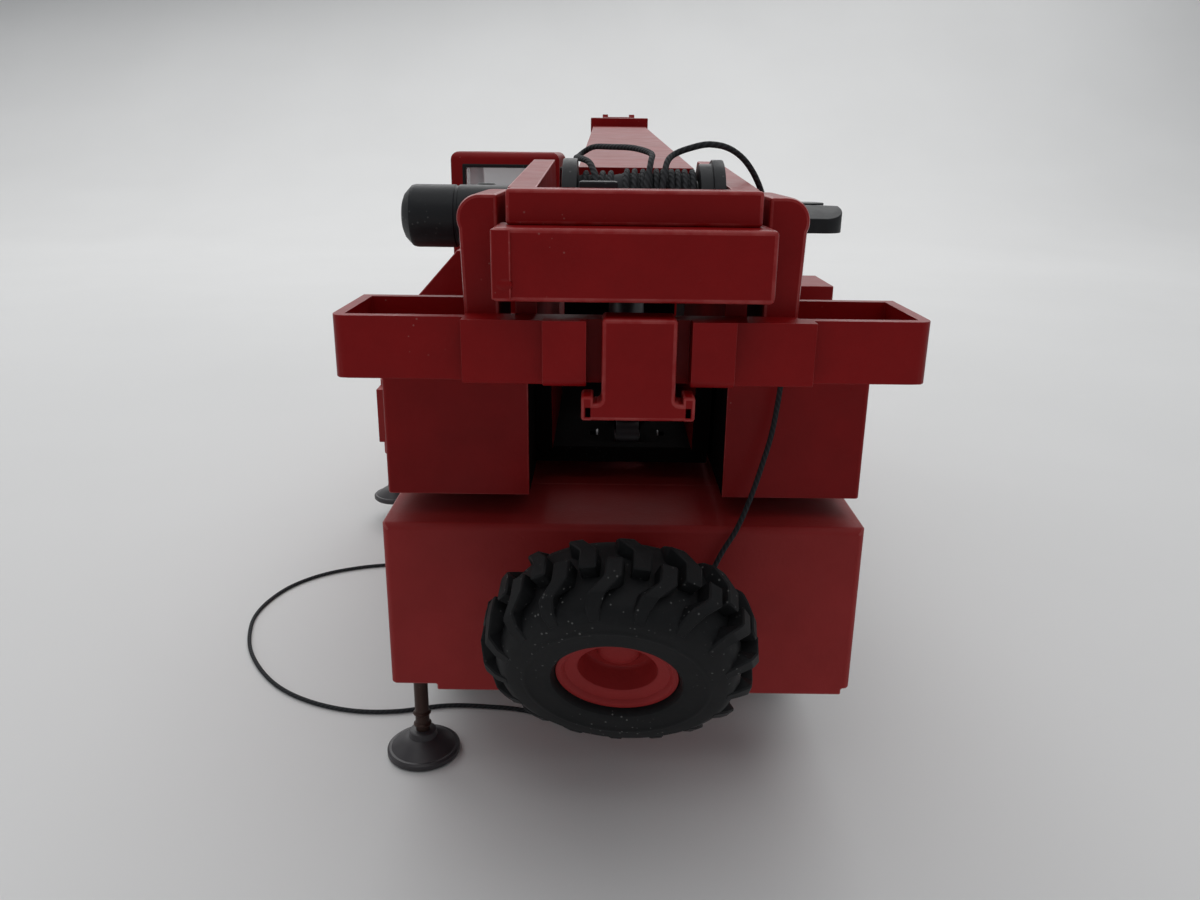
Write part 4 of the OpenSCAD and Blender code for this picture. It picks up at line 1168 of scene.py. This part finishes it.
# ------------------------------------------------------------------ upper part

@dataclass
class UpperPart:
    """Everything on the slewing ring except the boom."""

    half: float = 27.3
    top: float = 55.1

    def build(self) -> None:
        """Makes the upper part's pieces."""
        self.frame()
        self.housings()
        self.tray()
        self.weight()
        self.exhaust()
        self.cab()

    def frame(self) -> None:
        """Turntable, frame plates and pins, with painted shade inside the tunnel."""
        # The turntable frame is black plastic, drawn in the painted shade black, darker than the
        # black plastic, because it lies in shade.
        Casting("turntable_frame", Look.SOOT, 0.2).build()
        Casting("turntable_ring", Look.BLACK, 0.25).build()
        bosses = [bar("boss", 2.6, (s * 11.0, 18, 68.5), (s * 11.6, 18, 68.5), 32) for s in (-1, 1)]
        plates = Casting("frame_plates", Look.RED, 0.3).build(extras=bosses)
        # Painted shade on the plates' faces below that height, inside the tunnel.
        paint_shade(plates, lambda p: p.z < SHADED_PLATE_TOP)
        # A thin dark sheet under the tunnel that is painted shade: it closes a gap that let light
        # in and is no part of the crane.
        shade_sheet = box_piece("tunnel_shade_sheet", (-2.3, 25.2, 37.5), (3.9, 31.2, 37.9), 0.08)
        Bench.dress(shade_sheet, Look.SOOT, "superstructure")
        Casting("pivot_pins", Look.STEEL, 0.2).build()

    def housings(self) -> None:
        """The two side housings with louvres, doors and handles, and painted shade on their inner
        faces.
        """
        for node, side in (("left_housing", -1), ("right_housing", 1)):
            rear = span(node)[0].y
            wall = side * self.half
            front = 52 if side < 0 else 76
            left, right = sorted((wall - side * 0.4, wall + side * 0.3))
            slots = [Bench.block("louvre", at(left, y, 44), at(right, y + 0.7, 51.5))
                     for y in (28 + 1.5 * i for i in range(9))]
            doors = [groove("door", (wall, 8, 40.5), (wall, 24, 53), "x"),
                     groove("door", (wall, 26, 40.5), (wall, front - 4, 53.4), "x")]
            left, right = sorted((wall, wall + side * 0.5))
            catches = [box_piece("catch", (left, y, 46), (right, y + 1.6, 46.7), 0.12)
                       for y in (20.6, 42.4)]
            rounds = [(on(y=rear, x=wall), 0.5)]
            shell = Casting(node, Look.RED, 0.3, rounds=rounds).build([*doors, *slots], catches)
            # Painted shade on the housings' inner faces beside the tunnel.
            paint_shade(shell, lambda p: abs(p.x) < 11.45 and p.z < 57 and p.y > 4)

    def tray(self) -> None:
        """The counterweight tray with its hollow wings, and the coupling block."""
        rounds = [(on(half=27.7, y=-13.0), 1.3), (on(z=self.top, y=-13.0), 1.3),
                  (on(z=self.top, y=-14.5), 1.0), (on(z=self.top + 0.2, y=-16.5), 0.8)]
        Casting("counterweight_tray", Look.RED, 0.3, rounds=rounds).build()
        ends = [box_piece("toe", (x - 0.55, -17.5, 52.5), (x + 0.55, -14.5, 54.75), 0.25)
                for x in (-3.95, 5.15)]
        Casting("coupling_bracket", Look.RED, 0.36, 3).build(extras=ends)

    def weight(self) -> None:
        """Cheek plates, the slab between them and the cover over it."""
        Casting("cheek_plates", Look.RED, 0.35).build()
        bump = Bench.lathe("bump", [(0, 0), (0.75, 0), (0.7, 0.25), (0.4, 0.4), (0, 0.45)],
                           at(-11.2, -17, 64.5), Vector((0, -1, 0)), 20)
        bump.data.transform(slide(z=64.5) @ Matrix.Diagonal((1, 1, 0.7, 1)) @ slide(z=-64.5))
        strip = box_piece("strip", (-12.3, -17.25, 63.2), (-10.6, -16.9, 69.2), 0.14)
        Casting("counterweight", Look.RED, 0.42, 3).build(extras=[bump, strip])
        Casting("rear_cover", Look.RED, 0.35, 3).build()

    def exhaust(self) -> None:
        """The silencer on the left and the air cleaner on the right."""
        low, high = span("silencer")
        y, z = (low.y + high.y) / 2, (low.z + high.z) / 2
        r = (high.z - low.z) / 2
        line = [(0, 0), (r - 1.5, 0), (r - 0.9, 0.25), (r - 0.1, 1.0), (r, 1.4), (r, 5.6),
                (r - 0.12, 5.7), (r - 0.12, 5.95), (r, 6.05), (r, 11.2), (r - 0.7, 11.9), (0, 12.0)]
        can = Bench.lathe("silencer_can", line, at(low.x, y, z), Vector((1, 0, 0)), 56)
        pipe = bar("tail_pipe", 1.1, (-15.5, y + 3.4, z - 3.5), (-15.5, y + 3.4, z + 3.3), 24)
        Bench.dress(Bench.join([can, pipe]), Look.GREY, "superstructure", "silencer")
        Casting("air_cleaner", Look.GREY, 0.35, 3).build()

    def cab(self) -> None:
        """The crane cab with its seals, seat and levers."""
        low, high = span("crane_cab")
        x0, x1, y0, y1, top = low.x, high.x, low.y, high.y, high.z
        door = groove("door", (x0, y0 + 2, 41), (x0, y1 - 8, 73.8), "x")
        rounds = [(any_of(on(z=top, x=x0), on(z=top, x=x1), on(z=top, y=y0)), 1.3)]
        Casting("crane_cab", Look.RED, 0.35, rounds=rounds).build([door])
        seals = [window("rear_seal", (x0 + 2.4, y0 - 0.12, 60), (x1 - 2.4, y0 + 0.12, 72.8), "y"),
                 window("side_seal", (x0 - 0.12, y0 + 3, 58), (x0 + 0.12, y1 - 9, 72.4), "x"),
                 window("side_seal", (x1 - 0.12, y0 + 3, 58), (x1 + 0.12, y1 - 9, 72.4), "x")]
        Bench.dress(Bench.join(seals), Look.SEAL, "superstructure")
        x = (x0 + x1) / 2
        seat = [box_piece("cushion", (x - 3.6, y0 + 8, 50), (x + 3.6, y0 + 16, 52.4), 0.8),
                box_piece("back", (x - 3.6, y0 + 5.6, 52), (x + 3.6, y0 + 8, 64), 0.9),
                box_piece("stand", (x - 2, y0 + 9.5, 40.6), (x + 2, y0 + 14.5, 50.2), 0.3),
                box_piece("console", (x1 - 3.4, y0 + 10, 41), (x1 - 1.4, y0 + 20, 55), 0.4)]
        seat += [bar("lever", 0.3, (x + d, y0 + 18, 50), (x + d, y0 + 19.2, 56.5), 10)
                 for d in (-2.6, 2.6)]
        Bench.dress(Bench.join(seat), Look.SEAT, "superstructure")


# ------------------------------------------------------------------ winch

@dataclass
class Winch:
    """Drum, wound thread and motor."""

    y: float = -4.5
    z: float = 69.9

    def build(self) -> None:
        """Makes the winch."""
        Casting("winch_drum", Look.GREY, 0.14).build()
        low, high = span("winch_motor")
        rings = [bar("gland", 0.8, (high.x - 0.2, (low.y + high.y) / 2, low.z + 2.2),
                     (high.x + 0.5, (low.y + high.y) / 2, low.z + 2.2), 20)]
        Casting("winch_motor", Look.GREY, 0.3).build(extras=rings)
        dice = random.Random(SEED)
        parts = [self.winding("wound_thread_left", -4.95, -1.75, 3.68, dice),
                 self.winding("wound_thread_right", -0.95, 5.9, 3.88, dice)]
        core = Bench.lathe("wound_core", [(3.02, 0), (3.45, 0), (3.5, 3.4), (3.6, 3.9), (3.6, 11.2),
                                          (3.02, 11.2)], at(-5.15, self.y, self.z),
                           Vector((1, 0, 0)), 40)
        uv = core.data.uv_layers.new(name="UVMap")
        for loop in core.data.loops:
            place = core.data.vertices[loop.vertex_index].co / MM
            uv.data[loop.index].uv = (0.0, place.x)
        Bench.dress(Bench.join([*parts, core]), Look.ROPE, "drum", "wound_rope", smooth=60)

    def winding(self, name: str, start: float, end: float, radius: float,
                dice: random.Random) -> bpy.types.Object:
        """Thread wound there and back with small slips, between two places along the drum."""
        pitch, points, steps = 0.66, [], 20
        turns = int((end - start) / pitch)
        for lap in (0, 1):
            for i in range(turns):
                slip, rise = dice.uniform(-0.13, 0.13), dice.uniform(-0.07, 0.05)
                for j in range(steps):
                    share = (i + j / steps) / turns
                    across = start + (end - start) * (share if lap == 0 else 1 - share)
                    a = 2 * math.pi * j / steps
                    wave = math.sin(math.pi * j / steps)
                    r = radius - 0.42 * (1 - lap) + rise * wave * wave
                    points.append((across + slip * wave, self.y + r * math.cos(a),
                                   self.z + r * math.sin(a)))
        thread = Rope(name, points, 0.56, 7, 1.1)
        return thread.build([at(*p) for p in points])


# ------------------------------------------------------------------ boom

@dataclass
class Boom:
    """The telescoping boom, its head and its lift cylinder."""

    def build(self) -> None:
        """Makes the boom's pieces."""
        Casting("boom_base", Look.RED, 0.5, 3).build()
        Casting("boom_mid", Look.RED, 0.35).build()
        Casting("boom_tip", Look.RED, 0.3).build()
        Casting("head_sheaves", Look.GREY, 0.12, 1).build()
        Casting("lift_barrel", Look.BLACK, 0.25).build()
        Casting("lift_rod", Look.STEEL, 0.2).build()


# ------------------------------------------------------------------ making

def plain_nodes() -> None:
    """Gives the CAD nodes that stay as they are their finishes."""
    looks = {"driver_cab_glazing": Look.CLEAR, "crane_cab_glazing": Look.CLEAR,
             "rear_axle": Look.GREY, "front_axle": Look.GREY, "left_knuckle": Look.GREY,
             "right_knuckle": Look.GREY}
    for node, piece in frame["nodes"].items():
        if not piece.hide_render:
            look = looks[node]
            for i in range(max(1, len(piece.material_slots))):
                if not piece.material_slots:
                    piece.data.materials.append(None)
                piece.material_slots[i].material = look.material()
            log.info("%s keeps its shape in %s", node, look.name)


def main() -> None:
    """Builds the scene."""
    logging.basicConfig(level=logging.INFO, format="%(message)s")
    Studio().build()
    for part in (Ropework(), Wheels(), Carrier(), UpperPart(), Winch(), Boom()):
        log.info("%s", type(part).__name__)
        part.build()
    plain_nodes()
    Bench.clear()


if __name__ == "__main__":
    main()
